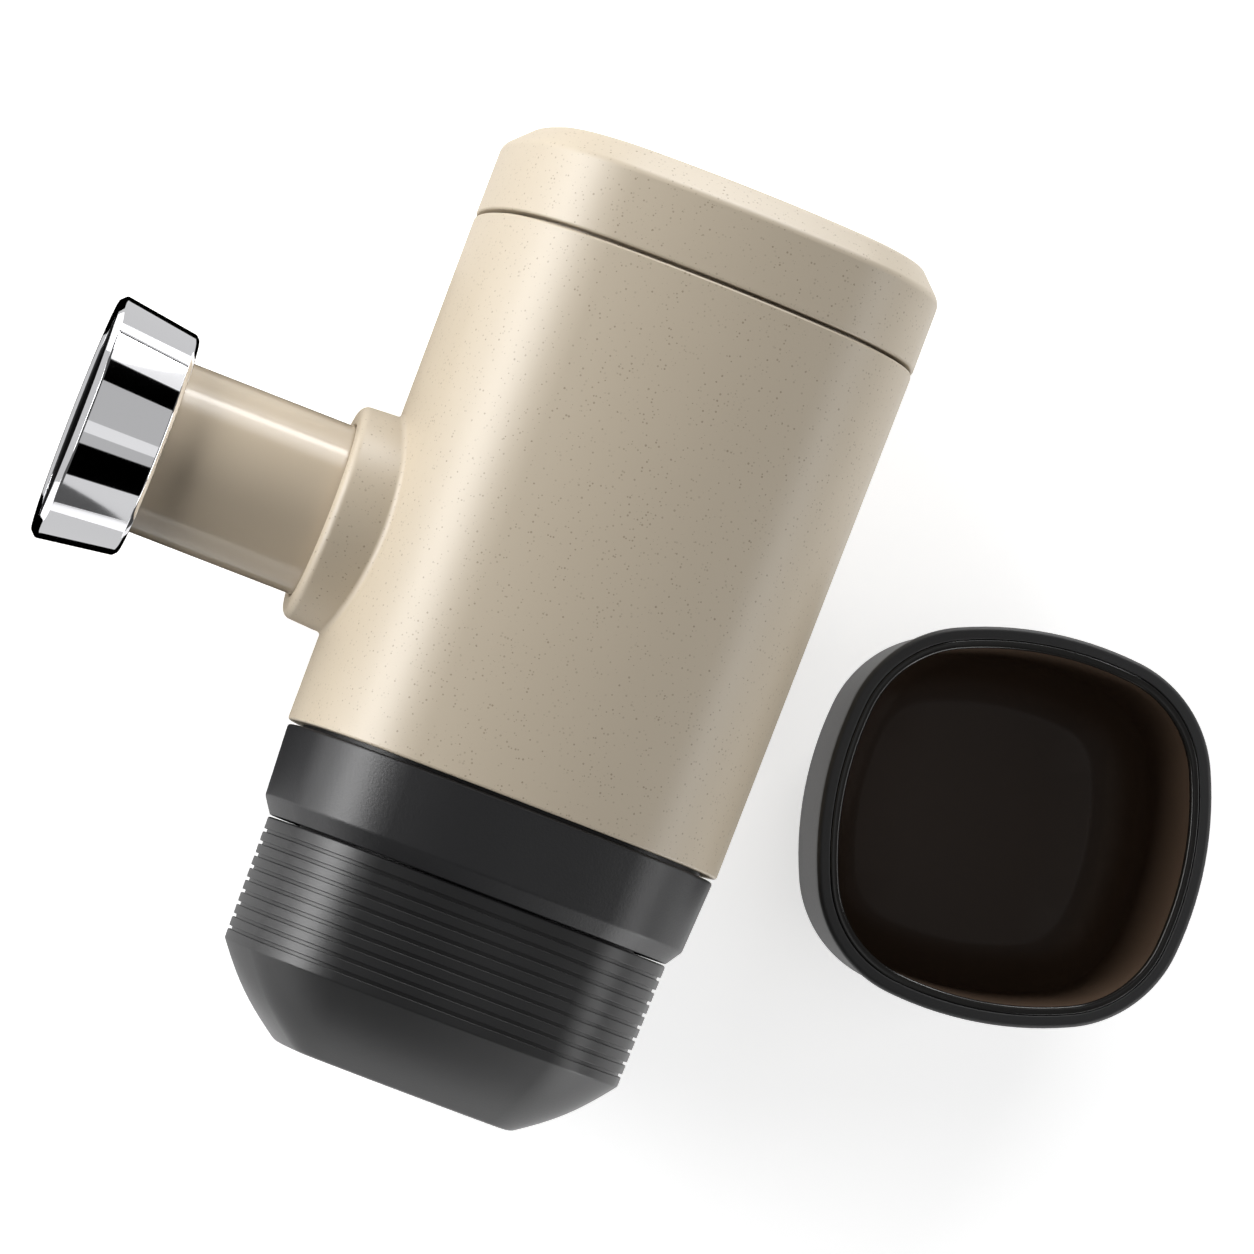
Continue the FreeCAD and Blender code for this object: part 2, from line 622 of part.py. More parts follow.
def tube_grommet():
    inner = TUBE_RADIUS + SNUG_GAP
    waist = TUBE_RADIUS + RUNNING_GAP + GROMMET_WALL
    lip = waist + GROMMET_LIP
    low, high = BAND_TOP - GROMMET_FLANGE, BULKHEAD_TOP + GROMMET_FLANGE
    ring = turned([(inner, low), (lip, low, 0.4), (lip, BAND_TOP), (waist, BAND_TOP), (waist, BULKHEAD_TOP),
                   (lip, BULKHEAD_TOP), (lip, high, 0.4), (inner, high)])
    ring.translate(Vector(VALVE_X, 0, 0))
    return ring


def air_valve():
    """A soft mushroom valve that lets air into the tank as water leaves it."""
    bulb_bottom = BAND_TOP - AIR_VALVE_BULB
    top = BULKHEAD_TOP + AIR_VALVE_CAP_THICK
    valve = turned([(0, bulb_bottom), (AIR_VALVE_STEM - EDGE_BREAK, bulb_bottom),
                    (AIR_VALVE_BULB, BAND_TOP), (AIR_VALVE_STEM, BAND_TOP),
                    (AIR_VALVE_STEM, BULKHEAD_TOP), (AIR_VALVE_CAP, BULKHEAD_TOP),
                    (AIR_VALVE_CAP, BULKHEAD_TOP + EDGE_BREAK), (0, top)])
    valve.translate(Vector(-AIR_VALVE_OFFSET, 0, 0))
    return valve


def inlet_fitting():
    pocket_floor = BLOCK_BOTTOM + FITTING_SPIGOT
    plug = VALVE_POCKET_RADIUS - SNUG_GAP
    spigot = TUBE_RADIUS - TUBE_WALL - SNUG_GAP
    shoulder = BLOCK_BOTTOM - FITTING_PLUG_BELOW
    fitting = turned([(PASSAGE_RADIUS, pocket_floor), (plug, pocket_floor), (plug, shoulder),
                      (spigot, shoulder), (spigot, shoulder - FITTING_SPIGOT),
                      (PASSAGE_RADIUS, shoulder - FITTING_SPIGOT)])
    fitting.translate(Vector(VALVE_X, 0, 0))
    return fitting


def suction_tube():
    top = BLOCK_BOTTOM - FITTING_PLUG_BELOW - SNUG_GAP
    hose = tube(TUBE_RADIUS, TUBE_RADIUS - TUBE_WALL, TUBE_FOOT, top)
    hose.translate(Vector(VALVE_X, 0, 0))
    return hose


def inlet_strainer():
    inner = TUBE_RADIUS + SNUG_GAP
    outer = inner + STRAINER_WALL
    top = TUBE_FOOT + STRAINER_LENGTH / 2
    bottom = top - STRAINER_LENGTH
    cage = disc(outer, bottom, top).cut(disc(inner, bottom + STRAINER_FLOOR, top))
    low = bottom + STRAINER_FLOOR
    slot = box(0, outer + 1, -STRAINER_SLOT_WIDTH / 2, STRAINER_SLOT_WIDTH / 2, low,
               low + STRAINER_SLOT_HEIGHT)
    for index in range(STRAINER_SLOTS):
        cutter = slot.copy()
        cutter.rotate(Vector(), Vector(0, 0, 1), 360 / STRAINER_SLOTS * index)
        cage = cage.cut(cutter)
    cage.translate(Vector(VALVE_X, 0, 0))
    return cage


# Pump body: the cylinder, the valve block behind it and the foot it stands on

def pump_passages():
    """The bore of the cylinder, the cross passage and the two valve pockets."""
    bore = disc(CYLINDER_BORE_RADIUS, -CYLINDER_MOUTH, CYLINDER_BOTTOM)
    cross = disc(PASSAGE_RADIUS, CYLINDER_BOTTOM, VALVE_X + PASSAGE_RADIUS)
    hollow = along_pump(bore.fuse(cross))
    inlet_top = BLOCK_BOTTOM + FITTING_SPIGOT + VALVE_ROOM
    outlet_bottom = BLOCK_TOP - OUTLET_PLUG_LENGTH - VALVE_ROOM
    hollow = hollow.fuse(disc(VALVE_POCKET_RADIUS, BLOCK_BOTTOM, inlet_top, VALVE_X))
    hollow = hollow.fuse(disc(PASSAGE_RADIUS, inlet_top, outlet_bottom, VALVE_X))
    return hollow.fuse(disc(VALVE_POCKET_RADIUS, outlet_bottom, BLOCK_TOP, VALVE_X))


def valve_block():
    end = BLOCK_START + BLOCK_LENGTH
    block = box(BLOCK_START, end, -BLOCK_HALF_WIDTH, BLOCK_HALF_WIDTH, BLOCK_BOTTOM, BLOCK_TOP)
    upright = [e for e in block.Edges if abs(e.tangentAt(e.FirstParameter).z) > 0.9]
    return block.makeFillet(BLOCK_ROUND, upright)


def pump_foot():
    """Two cheeks that carry the block, on a flange that is screwed to the bulkhead."""
    start, end = BLOCK_START + 1, BLOCK_START + BLOCK_LENGTH - 1
    foot = box(BLOCK_START, BLOCK_START + BLOCK_LENGTH, -FOOT_HALF_WIDTH, FOOT_HALF_WIDTH,
               BULKHEAD_TOP, BULKHEAD_TOP + FOOT_THICK)
    for side in (BLOCK_HALF_WIDTH - CHEEK_THICK, -BLOCK_HALF_WIDTH):
        foot = foot.fuse(box(start, end, side, side + CHEEK_THICK, BULKHEAD_TOP, BLOCK_BOTTOM))
    room = TUBE_RADIUS + RUNNING_GAP + GROMMET_WALL + GROMMET_LIP + MOVING_GAP
    foot = foot.cut(disc(room, BULKHEAD_TOP, BULKHEAD_TOP + FOOT_THICK, VALVE_X))
    for x, y in foot_screw_places():
        foot = foot.cut(disc(SCREW_HOLE, BULKHEAD_TOP, BULKHEAD_TOP + FOOT_THICK, x, y))
    return foot


def pump_body():
    cylinder = along_pump(disc(CYLINDER_RADIUS, -CYLINDER_MOUTH, BLOCK_START))
    return cylinder.fuse(valve_block()).fuse(pump_foot()).cut(pump_passages())


def pump_gland():
    """The cap over the cylinder's mouth, which the rod runs through."""
    outer = CYLINDER_RADIUS + SNUG_GAP + GLAND_WALL
    end = -CYLINDER_MOUTH - GLAND_END
    grip = -CYLINDER_MOUTH + GLAND_GRIP
    hole = ROD_RADIUS + RUNNING_GAP
    return along_pump(turned([(hole, end), (outer - EDGE_BREAK, end), (outer, end + EDGE_BREAK),
                              (outer, grip), (CYLINDER_RADIUS + SNUG_GAP, grip),
                              (CYLINDER_RADIUS + SNUG_GAP, -CYLINDER_MOUTH), (hole, -CYLINDER_MOUTH)]))


def rod_seal():
    start = -CYLINDER_MOUTH + SNUG_GAP
    ring = tube(CYLINDER_BORE_RADIUS - SNUG_GAP, ROD_RADIUS + RUNNING_GAP, start, start + ROD_SEAL_THICK)
    return along_pump(ring)


def duckbill(bottom):
    """A soft one way valve: a flange and a tube that narrows to a slit."""
    top = bottom + VALVE_HEIGHT
    shoulder = bottom + VALVE_FLANGE
    valve = disc(VALVE_POCKET_RADIUS - SNUG_GAP, bottom, shoulder)
    valve = valve.fuse(disc(VALVE_BODY_RADIUS, shoulder, top))
    wide = VALVE_BODY_RADIUS + 1
    for side in (1, -1):
        wedge = Part.makePolygon([Vector(-wide, side * VALVE_BODY_RADIUS, shoulder + EDGE_BREAK),
                                  Vector(-wide, side * wide, shoulder + EDGE_BREAK),
                                  Vector(-wide, side * wide, top), Vector(-wide, side * VALVE_LIP_HALF, top),
                                  Vector(-wide, side * VALVE_BODY_RADIUS, shoulder + EDGE_BREAK)])
        valve = valve.cut(Part.Face(wedge).extrude(Vector(2 * wide, 0, 0)))
    valve = valve.cut(disc(PASSAGE_RADIUS, bottom, shoulder + EDGE_BREAK))
    slit = VALVE_SLIT / 2
    valve = valve.cut(box(-PASSAGE_RADIUS, PASSAGE_RADIUS, -slit, slit, shoulder, top))
    valve.translate(Vector(VALVE_X, 0, 0))
    return valve


def inlet_valve():
    return duckbill(BLOCK_BOTTOM + FITTING_SPIGOT + SNUG_GAP)


def outlet_valve():
    return duckbill(BLOCK_TOP - OUTLET_PLUG_LENGTH - VALVE_ROOM)


# Piston and its guides

def guide_bush():
    inner = SLEEVE_RADIUS + RUNNING_GAP
    start = -COLLAR_REACH + COLLAR_LIP + WIPER_WIDTH + 2 * SNUG_GAP
    return along_pump(turned([(inner, start), (COLLAR_BORE, start), (COLLAR_BORE, -COLLAR_STUB_END),
                              (COLLAR_RADIUS, -COLLAR_STUB_END), (COLLAR_RADIUS, BUSH_END),
                              (inner, BUSH_END)]))


def sleeve_wiper():
    start = -COLLAR_REACH + COLLAR_LIP + SNUG_GAP
    return along_pump(tube(COLLAR_BORE, SLEEVE_RADIUS + RUNNING_GAP, start, start + WIPER_WIDTH))


def piston_sleeve():
    section = [(SLEEVE_BORE, SLEEVE_START), (SLEEVE_RADIUS, SLEEVE_START), (SLEEVE_RADIUS, SLEEVE_STOP),
               (SLEEVE_STOP_RADIUS, SLEEVE_STOP), (SLEEVE_STOP_RADIUS, SLEEVE_END),
               (SLEEVE_BORE, SLEEVE_END)]
    return along_pump(turned(section))


def sleeve_plug():
    return along_pump(tube(SLEEVE_BORE - SNUG_GAP, ROD_RADIUS + SNUG_GAP, SLEEVE_START, PLUG_END))


def piston_rod():
    rod = disc(ROD_RADIUS, SLEEVE_START, HEAD_BACK + ROD_IN_HEAD)
    return along_pump(rod.cut(disc(KNOB_SCREW_SHANK + SNUG_GAP, SLEEVE_START,
                                   SLEEVE_START + KNOB_SCREW_IN_ROD + 1)))


def seal_groove():
    """The start, the end and the floor radius of the groove in the piston head."""
    start = HEAD_BACK + ROD_IN_HEAD + SNUG_GAP
    floor = CYLINDER_BORE_RADIUS - RUNNING_GAP - 2 * PISTON_SEAL_SECTION
    return start, start + 2 * PISTON_SEAL_SECTION + 2 * SNUG_GAP, floor - SNUG_GAP


def piston_head():
    start, end, floor = seal_groove()
    radius = CYLINDER_BORE_RADIUS - RUNNING_GAP
    front = -PISTON_HEAD_FRONT
    blank = turned([(0, HEAD_BACK), (radius - EDGE_BREAK, HEAD_BACK), (radius, HEAD_BACK + EDGE_BREAK),
                    (radius, start), (floor, start), (floor, end), (radius, end),
                    (radius, front - EDGE_BREAK), (radius - EDGE_BREAK, front), (0, front)])
    return along_pump(blank.cut(disc(ROD_RADIUS + SNUG_GAP, HEAD_BACK, HEAD_BACK + ROD_IN_HEAD + SNUG_GAP)))


def piston_seal():
    start, end, floor = seal_groove()
    ring = Part.makeTorus(floor + SNUG_GAP + PISTON_SEAL_SECTION, PISTON_SEAL_SECTION,
                          Vector(0, 0, (start + end) / 2))
    return along_pump(ring)


def spring_seat():
    inner = CYLINDER_RADIUS + SNUG_GAP
    return along_pump(tube(SLEEVE_BORE - SPRING_PLAY, inner, SPRING_END, BLOCK_START))


def return_spring():
    """A coil spring round the cylinder, from the plug in the sleeve to its seat on the block."""
    coil_radius = SLEEVE_BORE - SPRING_PLAY - SPRING_WIRE / 2
    start = PLUG_END + SPRING_WIRE / 2 + SNUG_GAP
    length = SPRING_END - SNUG_GAP - SPRING_WIRE / 2 - start
    path = Part.makeHelix(length / SPRING_TURNS, length, coil_radius)
    path.translate(Vector(0, 0, start))
    section = Part.Wire(Part.makeCircle(SPRING_WIRE / 2, Vector(coil_radius, 0, start), Vector(0, 1, 0)))
    return along_pump(Part.Wire(path.Edges).makePipeShell([section], True, True))


# Knob

def knob_ring():
    """The bright outer ring: a cup that flares outwards, with a bevelled back and a rounded rim."""
    back = SLEEVE_START
    mouth = SLEEVE_RADIUS + MOVING_GAP
    shoulder = KNOB_RADIUS_INNER - KNOB_BACK_BEVEL
    inner = KNOB_RADIUS_INNER - KNOB_WALL + KNOB_RIM_WIDTH
    rim = KNOB_RADIUS_OUTER - KNOB_RIM_BEVEL
    section = [(mouth, back), (shoulder, back, 0.3), (KNOB_RADIUS_INNER, back - KNOB_BACK_BEVEL, 0.5),
               (KNOB_RADIUS_OUTER, KNOB_END + KNOB_RIM_BEVEL, 0.4), (rim, KNOB_END, 0.4),
               (rim - KNOB_RIM_WIDTH, KNOB_END), (rim - 2 * KNOB_RIM_WIDTH, KNOB_END + KNOB_RIM_WIDTH),
               (inner, back - KNOB_CORE_END), (inner, back - KNOB_BACK_WALL),
               (mouth, back - KNOB_BACK_WALL)]
    return along_pump(turned(section))


def knob_inner_radius():
    return KNOB_RADIUS_INNER - KNOB_WALL + KNOB_RIM_WIDTH - SNUG_GAP


def knob_core():
    """The hub inside the ring, which turns on the sleeve's end and holds the screw's head."""
    hub_start = SLEEVE_START - MOVING_GAP
    step = SLEEVE_START - KNOB_BACK_WALL - SNUG_GAP
    end = SLEEVE_START - KNOB_CORE_END
    wide = knob_inner_radius()
    head = KNOB_SCREW_HEAD_RADIUS + RUNNING_GAP
    hub = SLEEVE_RADIUS + MOVING_GAP - SNUG_GAP
    seat = end + KNOB_SCREW_HEAD + SNUG_GAP
    return along_pump(turned([(KNOB_SCREW_SHANK + RUNNING_GAP, hub_start), (hub, hub_start),
                              (hub, step), (wide, step), (wide, end), (head, end), (head, seat),
                              (KNOB_SCREW_SHANK + RUNNING_GAP, seat)]))


def knob_screw():
    end = SLEEVE_START - KNOB_CORE_END + SNUG_GAP
    head_back = end + KNOB_SCREW_HEAD
    head = turned([(0, end), (KNOB_SCREW_HEAD_RADIUS, end, 0.5), (KNOB_SCREW_HEAD_RADIUS, head_back),
                   (0, head_back)])
    shank = disc(KNOB_SCREW_SHANK, head_back, SLEEVE_START + KNOB_SCREW_IN_ROD)
    return along_pump(head.fuse(shank))


def knob_insert():
    """The dark end plate, turned with concentric rings."""
    back = SLEEVE_START - KNOB_CORE_END - SNUG_GAP
    face = back - INSERT_THICK
    radius = knob_inner_radius()
    section = [(0, back), (radius, back), (radius, face)]
    for index in range(INSERT_RINGS):
        outer = radius - (index + 0.5) * INSERT_RING_STEP
        inner = outer - INSERT_RING_WIDTH
        floor = face + INSERT_RING_DEPTH
        section += [(outer, face), (outer, floor), (inner, floor), (inner, face)]
    return along_pump(turned(section + [(0, face)]))


# Brew chamber, basket and head

def brew_chamber():
    inner = CHAMBER_RADIUS - CHAMBER_WALL
    recess = inner - CHAMBER_LEDGE
    floor = DECK_TOP + CHAMBER_FLOOR
    section = [(0, DECK_TOP), (CHAMBER_FLANGE_RADIUS, DECK_TOP),
               (CHAMBER_FLANGE_RADIUS, DECK_TOP + CHAMBER_FLANGE, 0.8),
               (CHAMBER_RADIUS, DECK_TOP + CHAMBER_FLANGE), (CHAMBER_RADIUS, CHAMBER_TOP),
               (inner, CHAMBER_TOP), (inner, SCREEN_Z), (recess, SCREEN_Z), (recess, floor), (0, floor)]
    chamber = turned(section)
    plug = VALVE_POCKET_RADIUS - SNUG_GAP
    plug_end = BLOCK_TOP - OUTLET_PLUG_LENGTH + SNUG_GAP
    chamber = chamber.fuse(disc(plug, plug_end, DECK_TOP, VALVE_X))
    chamber = chamber.cut(disc(PASSAGE_RADIUS, plug_end, floor, VALVE_X))
    for x, y in corners(CHAMBER_SCREW_OFFSET):
        chamber = chamber.cut(disc(SCREW_HOLE, DECK_TOP, DECK_TOP + CHAMBER_FLANGE, x, y))
    return chamber


def chamber_screws():
    seat = DECK_TOP + CHAMBER_FLANGE
    length = CHAMBER_FLANGE + DECK_THICK + CHAMBER_POST_HEIGHT - EDGE_BREAK
    return Part.makeCompound([screw_down(x, y, seat, length) for x, y in corners(CHAMBER_SCREW_OFFSET)])


def perforated(radius, bottom):
    """A thin round screen with rings of holes."""
    sheet = disc(radius, bottom, bottom + SCREEN_THICK)
    holes = [disc(SCREEN_HOLE_RADIUS, bottom, bottom + SCREEN_THICK)]
    for ring in range(1, SCREEN_RINGS + 1):
        count = SCREEN_HOLES_PER_RING * ring
        for index in range(count):
            turn = 2 * math.pi * index / count
            reach = SCREEN_RING_STEP * ring
            holes.append(disc(SCREEN_HOLE_RADIUS, bottom, bottom + SCREEN_THICK,
                              reach * math.cos(turn), reach * math.sin(turn)))
    return sheet.cut(Part.makeCompound(holes))


def shower_screen():
    return perforated(CHAMBER_RADIUS - CHAMBER_WALL - SNUG_GAP, SCREEN_Z)


def filter_basket():
    outer = CHAMBER_RADIUS - CHAMBER_WALL - MOVING_GAP
    inner = outer - BASKET_WALL
    flange = CHAMBER_RADIUS - BASKET_FLANGE_OVER
    floor = BASKET_BOTTOM + SCREEN_THICK
    wall = turned([(inner, floor), (outer, floor), (outer, CHAMBER_TOP), (flange, CHAMBER_TOP),
                   (flange, BASKET_RIM_TOP), (inner, BASKET_RIM_TOP)])
    return wall.fuse(perforated(outer, BASKET_BOTTOM))


def basket_seal():
    inner = CHAMBER_RADIUS - CHAMBER_WALL - MOVING_GAP - BASKET_WALL
    outer = CHAMBER_RADIUS - BASKET_FLANGE_OVER
    return tube(outer, inner, BASKET_SEAL_BOTTOM, BASKET_SEAL_BOTTOM + BASKET_SEAL_THICK)


def head_screen():
    return perforated(CHAMBER_RADIUS - BASKET_FLANGE_OVER, HEAD_SCREEN_Z)


def head_flutes():
    """The shallow scallops round the head that fingers turn it by."""
    reach = HEAD_RADIUS + FLUTE_RADIUS - FLUTE_DEPTH
    flutes = []
    for index in range(FLUTE_COUNT):
        turn = 2 * math.pi * index / FLUTE_COUNT
        flutes.append(disc(FLUTE_RADIUS, HEAD_TOP - HEAD_SKIRT_BELOW - HEAD_TOP_PLATE, HEAD_TOP,
                           reach * math.cos(turn), reach * math.sin(turn)))
    return Part.makeCompound(flutes)


def brew_head():
    bottom = HEAD_CEILING - HEAD_SKIRT_BELOW
    thread = CHAMBER_RADIUS + HEAD_THREAD_GAP
    cap = turned([(thread, bottom), (HEAD_RADIUS, bottom), (HEAD_RADIUS, HEAD_TOP, HEAD_ROUND),
                  (NOZZLE_BORE, HEAD_TOP), (NOZZLE_BORE, HEAD_CEILING), (thread, HEAD_CEILING)])
    return cap.cut(head_flutes())


def outlet_nozzle():
    flange_top = HEAD_TOP + NOZZLE_FLANGE
    tip = flange_top + NOZZLE_LENGTH
    floor = tip - NOZZLE_FLANGE
    spout = turned([(NOZZLE_BORE, HEAD_TOP), (NOZZLE_FLANGE_RADIUS, HEAD_TOP),
                    (NOZZLE_FLANGE_RADIUS, flange_top, 0.4), (NOZZLE_RADIUS, flange_top),
                    (NOZZLE_TIP_RADIUS, tip, 0.6), (0, tip), (0, floor), (NOZZLE_BORE, floor)])
    for side in (1, -1):
        spout = spout.cut(disc(JET_RADIUS, floor, tip, side * JET_OFFSET))
    return spout


# Cup

def cup_side(inset):
    """The curve of the cup's side from its base to its waist, moved in by inset."""
    base = (CUP_BASE_HALF - inset, CUP_FOOT_HEIGHT + inset)
    waist = (CUP_WAIST_HALF - inset, CUP_WAIST_HEIGHT)
    return base, bulged(base, waist, CUP_BOWL_BULGE), waist


def cup_half_at(z):
    """Half the outer width of the straight upper wall of the cup."""
    share = (z - CUP_WAIST_HEIGHT) / (CUP_HEIGHT - CUP_WAIST_HEIGHT)
    return CUP_WAIST_HALF + (CUP_RIM_HALF - CUP_LIP_STEP - CUP_WAIST_HALF) * share


def cup_shell():
    base, swell, waist = cup_side(0)
    inner_base, inner_swell, inner_waist = cup_side(CUP_SHELL_WALL)
    lip = CUP_HEIGHT - CUP_LIP_HEIGHT
    inner_top = cup_half_at(CUP_HEIGHT) - CUP_SHELL_WALL
    section = [(CUP_CORE_HALF, base[1]), base, swell, waist, (cup_half_at(lip), lip - CUP_LIP_STEP),
               (CUP_RIM_HALF, lip), (CUP_RIM_HALF, CUP_HEIGHT, 0.7), (inner_top, CUP_HEIGHT), inner_waist,
               via(inner_swell[1], inner_swell[2]), inner_base, (CUP_CORE_HALF, inner_base[1])]
    shell = swept(section, CUP_RIM_HALF, CUP_FLAT_HALF)
    return shell.fuse(plate(CUP_CORE_HALF, base[1], inner_base[1], CUP_FLAT_HALF))


def cup_liner():
    outer = CUP_SHELL_WALL + SNUG_GAP
    base, swell, waist = cup_side(outer)
    inner_base, inner_swell, inner_waist = cup_side(outer + CUP_LINER_WALL)
    top = cup_half_at(CUP_HEIGHT) - outer
    section = [(CUP_CORE_HALF, base[1]), base, swell, waist, (top, CUP_HEIGHT),
               (top - CUP_LINER_WALL, CUP_HEIGHT, 0.4), inner_waist,
               via(inner_swell[1], inner_swell[2]), inner_base, (CUP_CORE_HALF, inner_base[1])]
    liner = swept(section, CUP_RIM_HALF, CUP_FLAT_HALF)
    return liner.fuse(plate(CUP_CORE_HALF, base[1], inner_base[1], CUP_FLAT_HALF))


def cup_foot():
    outer = CUP_BASE_HALF - CUP_FOOT_INSET
    inner = outer - CUP_FOOT_WIDTH
    section = [(inner, 0), (outer, 0, 0.3), (outer, CUP_FOOT_HEIGHT), (inner, CUP_FOOT_HEIGHT)]
    return swept(section, outer, CUP_FLAT_HALF)


def laid_on_table(shape):
    """The upright maker laid on its back, with the middle of all that stands there over the origin."""
    laid = shape.copy()
    laid.rotate(Vector(), Vector(1, 0, 0), -90)
    laid.translate(Vector(-MID_ACROSS, -MID_ALONG, AXIS_ABOVE_TABLE))
    return laid


def stood_beside(shape):
    """The upright cup turned about its axis and stood beside the maker."""
    stood = shape.copy()
    stood.rotate(Vector(), Vector(0, 0, 1), CUP_TURN)
    stood.translate(Vector(CUP_AWAY - MID_ACROSS, CUP_ALONG - MID_ALONG, 0))
    return stood


MAKER_PIECES = [water_tank, tank_seal, base_collar, collar_screws, body_shell, brew_deck, top_cap,
                cap_seal, bulkhead, bulkhead_screws, tube_grommet, air_valve, inlet_fitting,
                suction_tube, inlet_strainer, pump_body, pump_gland, rod_seal, inlet_valve,
                outlet_valve, guide_bush, sleeve_wiper, piston_sleeve, sleeve_plug, piston_rod,
                piston_head, piston_seal, spring_seat, return_spring, knob_ring, knob_core, knob_screw,
                knob_insert, brew_chamber, chamber_screws, shower_screen, filter_basket, basket_seal,
                head_screen, brew_head, outlet_nozzle]
CUP_PIECES = [cup_shell, cup_liner, cup_foot]


def main():
    os.makedirs("parts", exist_ok=True)
    for pieces, place in ((MAKER_PIECES, laid_on_table), (CUP_PIECES, stood_beside)):
        for piece in pieces:
            shape = place(piece())
            shape.exportStep(os.path.join("parts", piece.__name__ + ".step"))
            print(piece.__name__, len(shape.Solids), round(shape.Volume, 1), shape.isValid())


main()
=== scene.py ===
"""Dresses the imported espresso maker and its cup, and sets up the studio round them."""

from __future__ import annotations

import json
import logging
import math
from dataclasses import dataclass, field
from enum import Enum
from typing import Callable, Sequence

import bmesh
import bpy
from mathutils import Matrix, Vector

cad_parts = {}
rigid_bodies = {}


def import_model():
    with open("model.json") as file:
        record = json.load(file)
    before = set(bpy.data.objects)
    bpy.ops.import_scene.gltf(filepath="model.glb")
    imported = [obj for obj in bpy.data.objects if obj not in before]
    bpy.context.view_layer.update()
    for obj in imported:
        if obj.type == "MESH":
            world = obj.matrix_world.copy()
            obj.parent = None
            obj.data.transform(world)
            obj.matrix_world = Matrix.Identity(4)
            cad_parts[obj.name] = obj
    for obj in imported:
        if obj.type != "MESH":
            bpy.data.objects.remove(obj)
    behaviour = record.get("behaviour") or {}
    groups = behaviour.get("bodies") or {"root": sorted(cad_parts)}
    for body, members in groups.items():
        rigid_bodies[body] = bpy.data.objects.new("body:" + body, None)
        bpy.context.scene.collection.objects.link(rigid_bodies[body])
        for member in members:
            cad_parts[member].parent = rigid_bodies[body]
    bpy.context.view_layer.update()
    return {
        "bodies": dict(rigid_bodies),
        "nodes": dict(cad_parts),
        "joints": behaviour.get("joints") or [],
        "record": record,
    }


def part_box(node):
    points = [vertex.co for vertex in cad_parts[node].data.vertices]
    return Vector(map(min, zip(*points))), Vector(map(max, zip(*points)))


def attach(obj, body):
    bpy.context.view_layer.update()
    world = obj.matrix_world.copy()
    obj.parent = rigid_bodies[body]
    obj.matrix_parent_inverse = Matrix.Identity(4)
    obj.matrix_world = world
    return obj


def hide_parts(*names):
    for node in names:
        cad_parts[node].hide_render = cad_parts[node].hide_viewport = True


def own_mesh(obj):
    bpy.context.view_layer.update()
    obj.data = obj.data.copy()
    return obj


LOG = logging.getLogger("espresso_maker")

MM = 0.001
MERGE = 0.002 * MM
SMOOTH_ANGLE = math.radians(32)
CORNER_STEPS = 28
ROUND_STEPS = 120
BEND_STEPS = 5
INNER_STEPS = 16
HOLE_STEPS = 96
CLOUD_SCALE = 24.0
SPECK_REACH = 0.34
SPECK_FAINT = 0.15
SPECK_SPREAD = 0.45

Spot = tuple[float, ...]


class Side(Enum):
    """The frame that a piece is drawn in before it is laid where it belongs."""

    MAKER = "maker"
    PUMP = "pump"
    CUP = "cup"


@dataclass(frozen=True)
class Square:
    """The path of a rounded square whose sides are bowed a little, so that no part of it is flat."""

    flat: float
    bow: float = math.radians(15)

    @property
    def corner(self) -> float:
        """How far the corners' centres lie from the middle, each way, in millimetres."""
        diagonal = math.sqrt(2) - 1
        return self.flat * diagonal / (diagonal - math.tan(self.bow / 2))

    @property
    def core(self) -> float:
        """Where a section across a side's middle reaches the corners' centres."""
        return self.corner * (1 + math.tan(self.bow / 2))

    @property
    def back(self) -> float:
        """How far behind the middle a bowed side has its centre."""
        return self.corner * (1 / math.tan(self.bow) - 1)


MAKER_SQUARE = Square(8.0)
CUP_SQUARE = Square(6.0)


@dataclass
class Layout:
    """Where the upright drawings of the maker, its pump and its cup lie on the table."""

    cup_turn: float = math.radians(10)
    places: dict[Side, Matrix] = field(default_factory=dict)

    def measure(self) -> None:
        """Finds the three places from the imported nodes."""
        tank_low, tank_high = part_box("water_tank")
        middle = (tank_low.x + tank_high.x) / 2
        axis_height = (tank_low.z + tank_high.z) / 2
        laid = Matrix.Rotation(math.radians(-90), 4, "X")
        maker = Matrix.Translation((middle, tank_low.y, axis_height)) @ laid
        sleeve_low, sleeve_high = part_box("piston_sleeve")
        pump_height = (sleeve_low.y + sleeve_high.y) / 2 - tank_low.y
        pump = maker @ Matrix.Translation((0, 0, pump_height)) @ Matrix.Rotation(math.radians(90), 4, "Y")
        foot_low, foot_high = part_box("cup_foot")
        stood = Matrix.Translation(((foot_low.x + foot_high.x) / 2, (foot_low.y + foot_high.y) / 2, foot_low.z))
        cup = stood @ Matrix.Rotation(self.cup_turn, 4, "Z")
        self.places = {Side.MAKER: maker, Side.PUMP: pump, Side.CUP: cup}


def deselect_everything() -> None:
    """Leaves edit mode and deselects every object."""
    if bpy.context.object and bpy.context.object.mode != "OBJECT":
        bpy.ops.object.mode_set(mode="OBJECT")
    for thing in bpy.context.selected_objects:
        thing.select_set(False)


def select_only(piece: bpy.types.Object) -> None:
    """Makes one object the selected and active one.

    Args:
        piece: The object.
    """
    deselect_everything()
    piece.select_set(True)
    bpy.context.view_layer.objects.active = piece


def apply_modifier(piece: bpy.types.Object, kind: str, **settings: object) -> None:
    """Adds one modifier with its settings and applies it.

    Args:
        piece: The object to change.
        kind: The modifier's type.
        **settings: The modifier's properties.
    """
    select_only(piece)
    modifier = piece.modifiers.new(kind.lower(), kind)
    for name, value in settings.items():
        setattr(modifier, name, value)
    bpy.ops.object.modifier_apply(modifier=modifier.name)


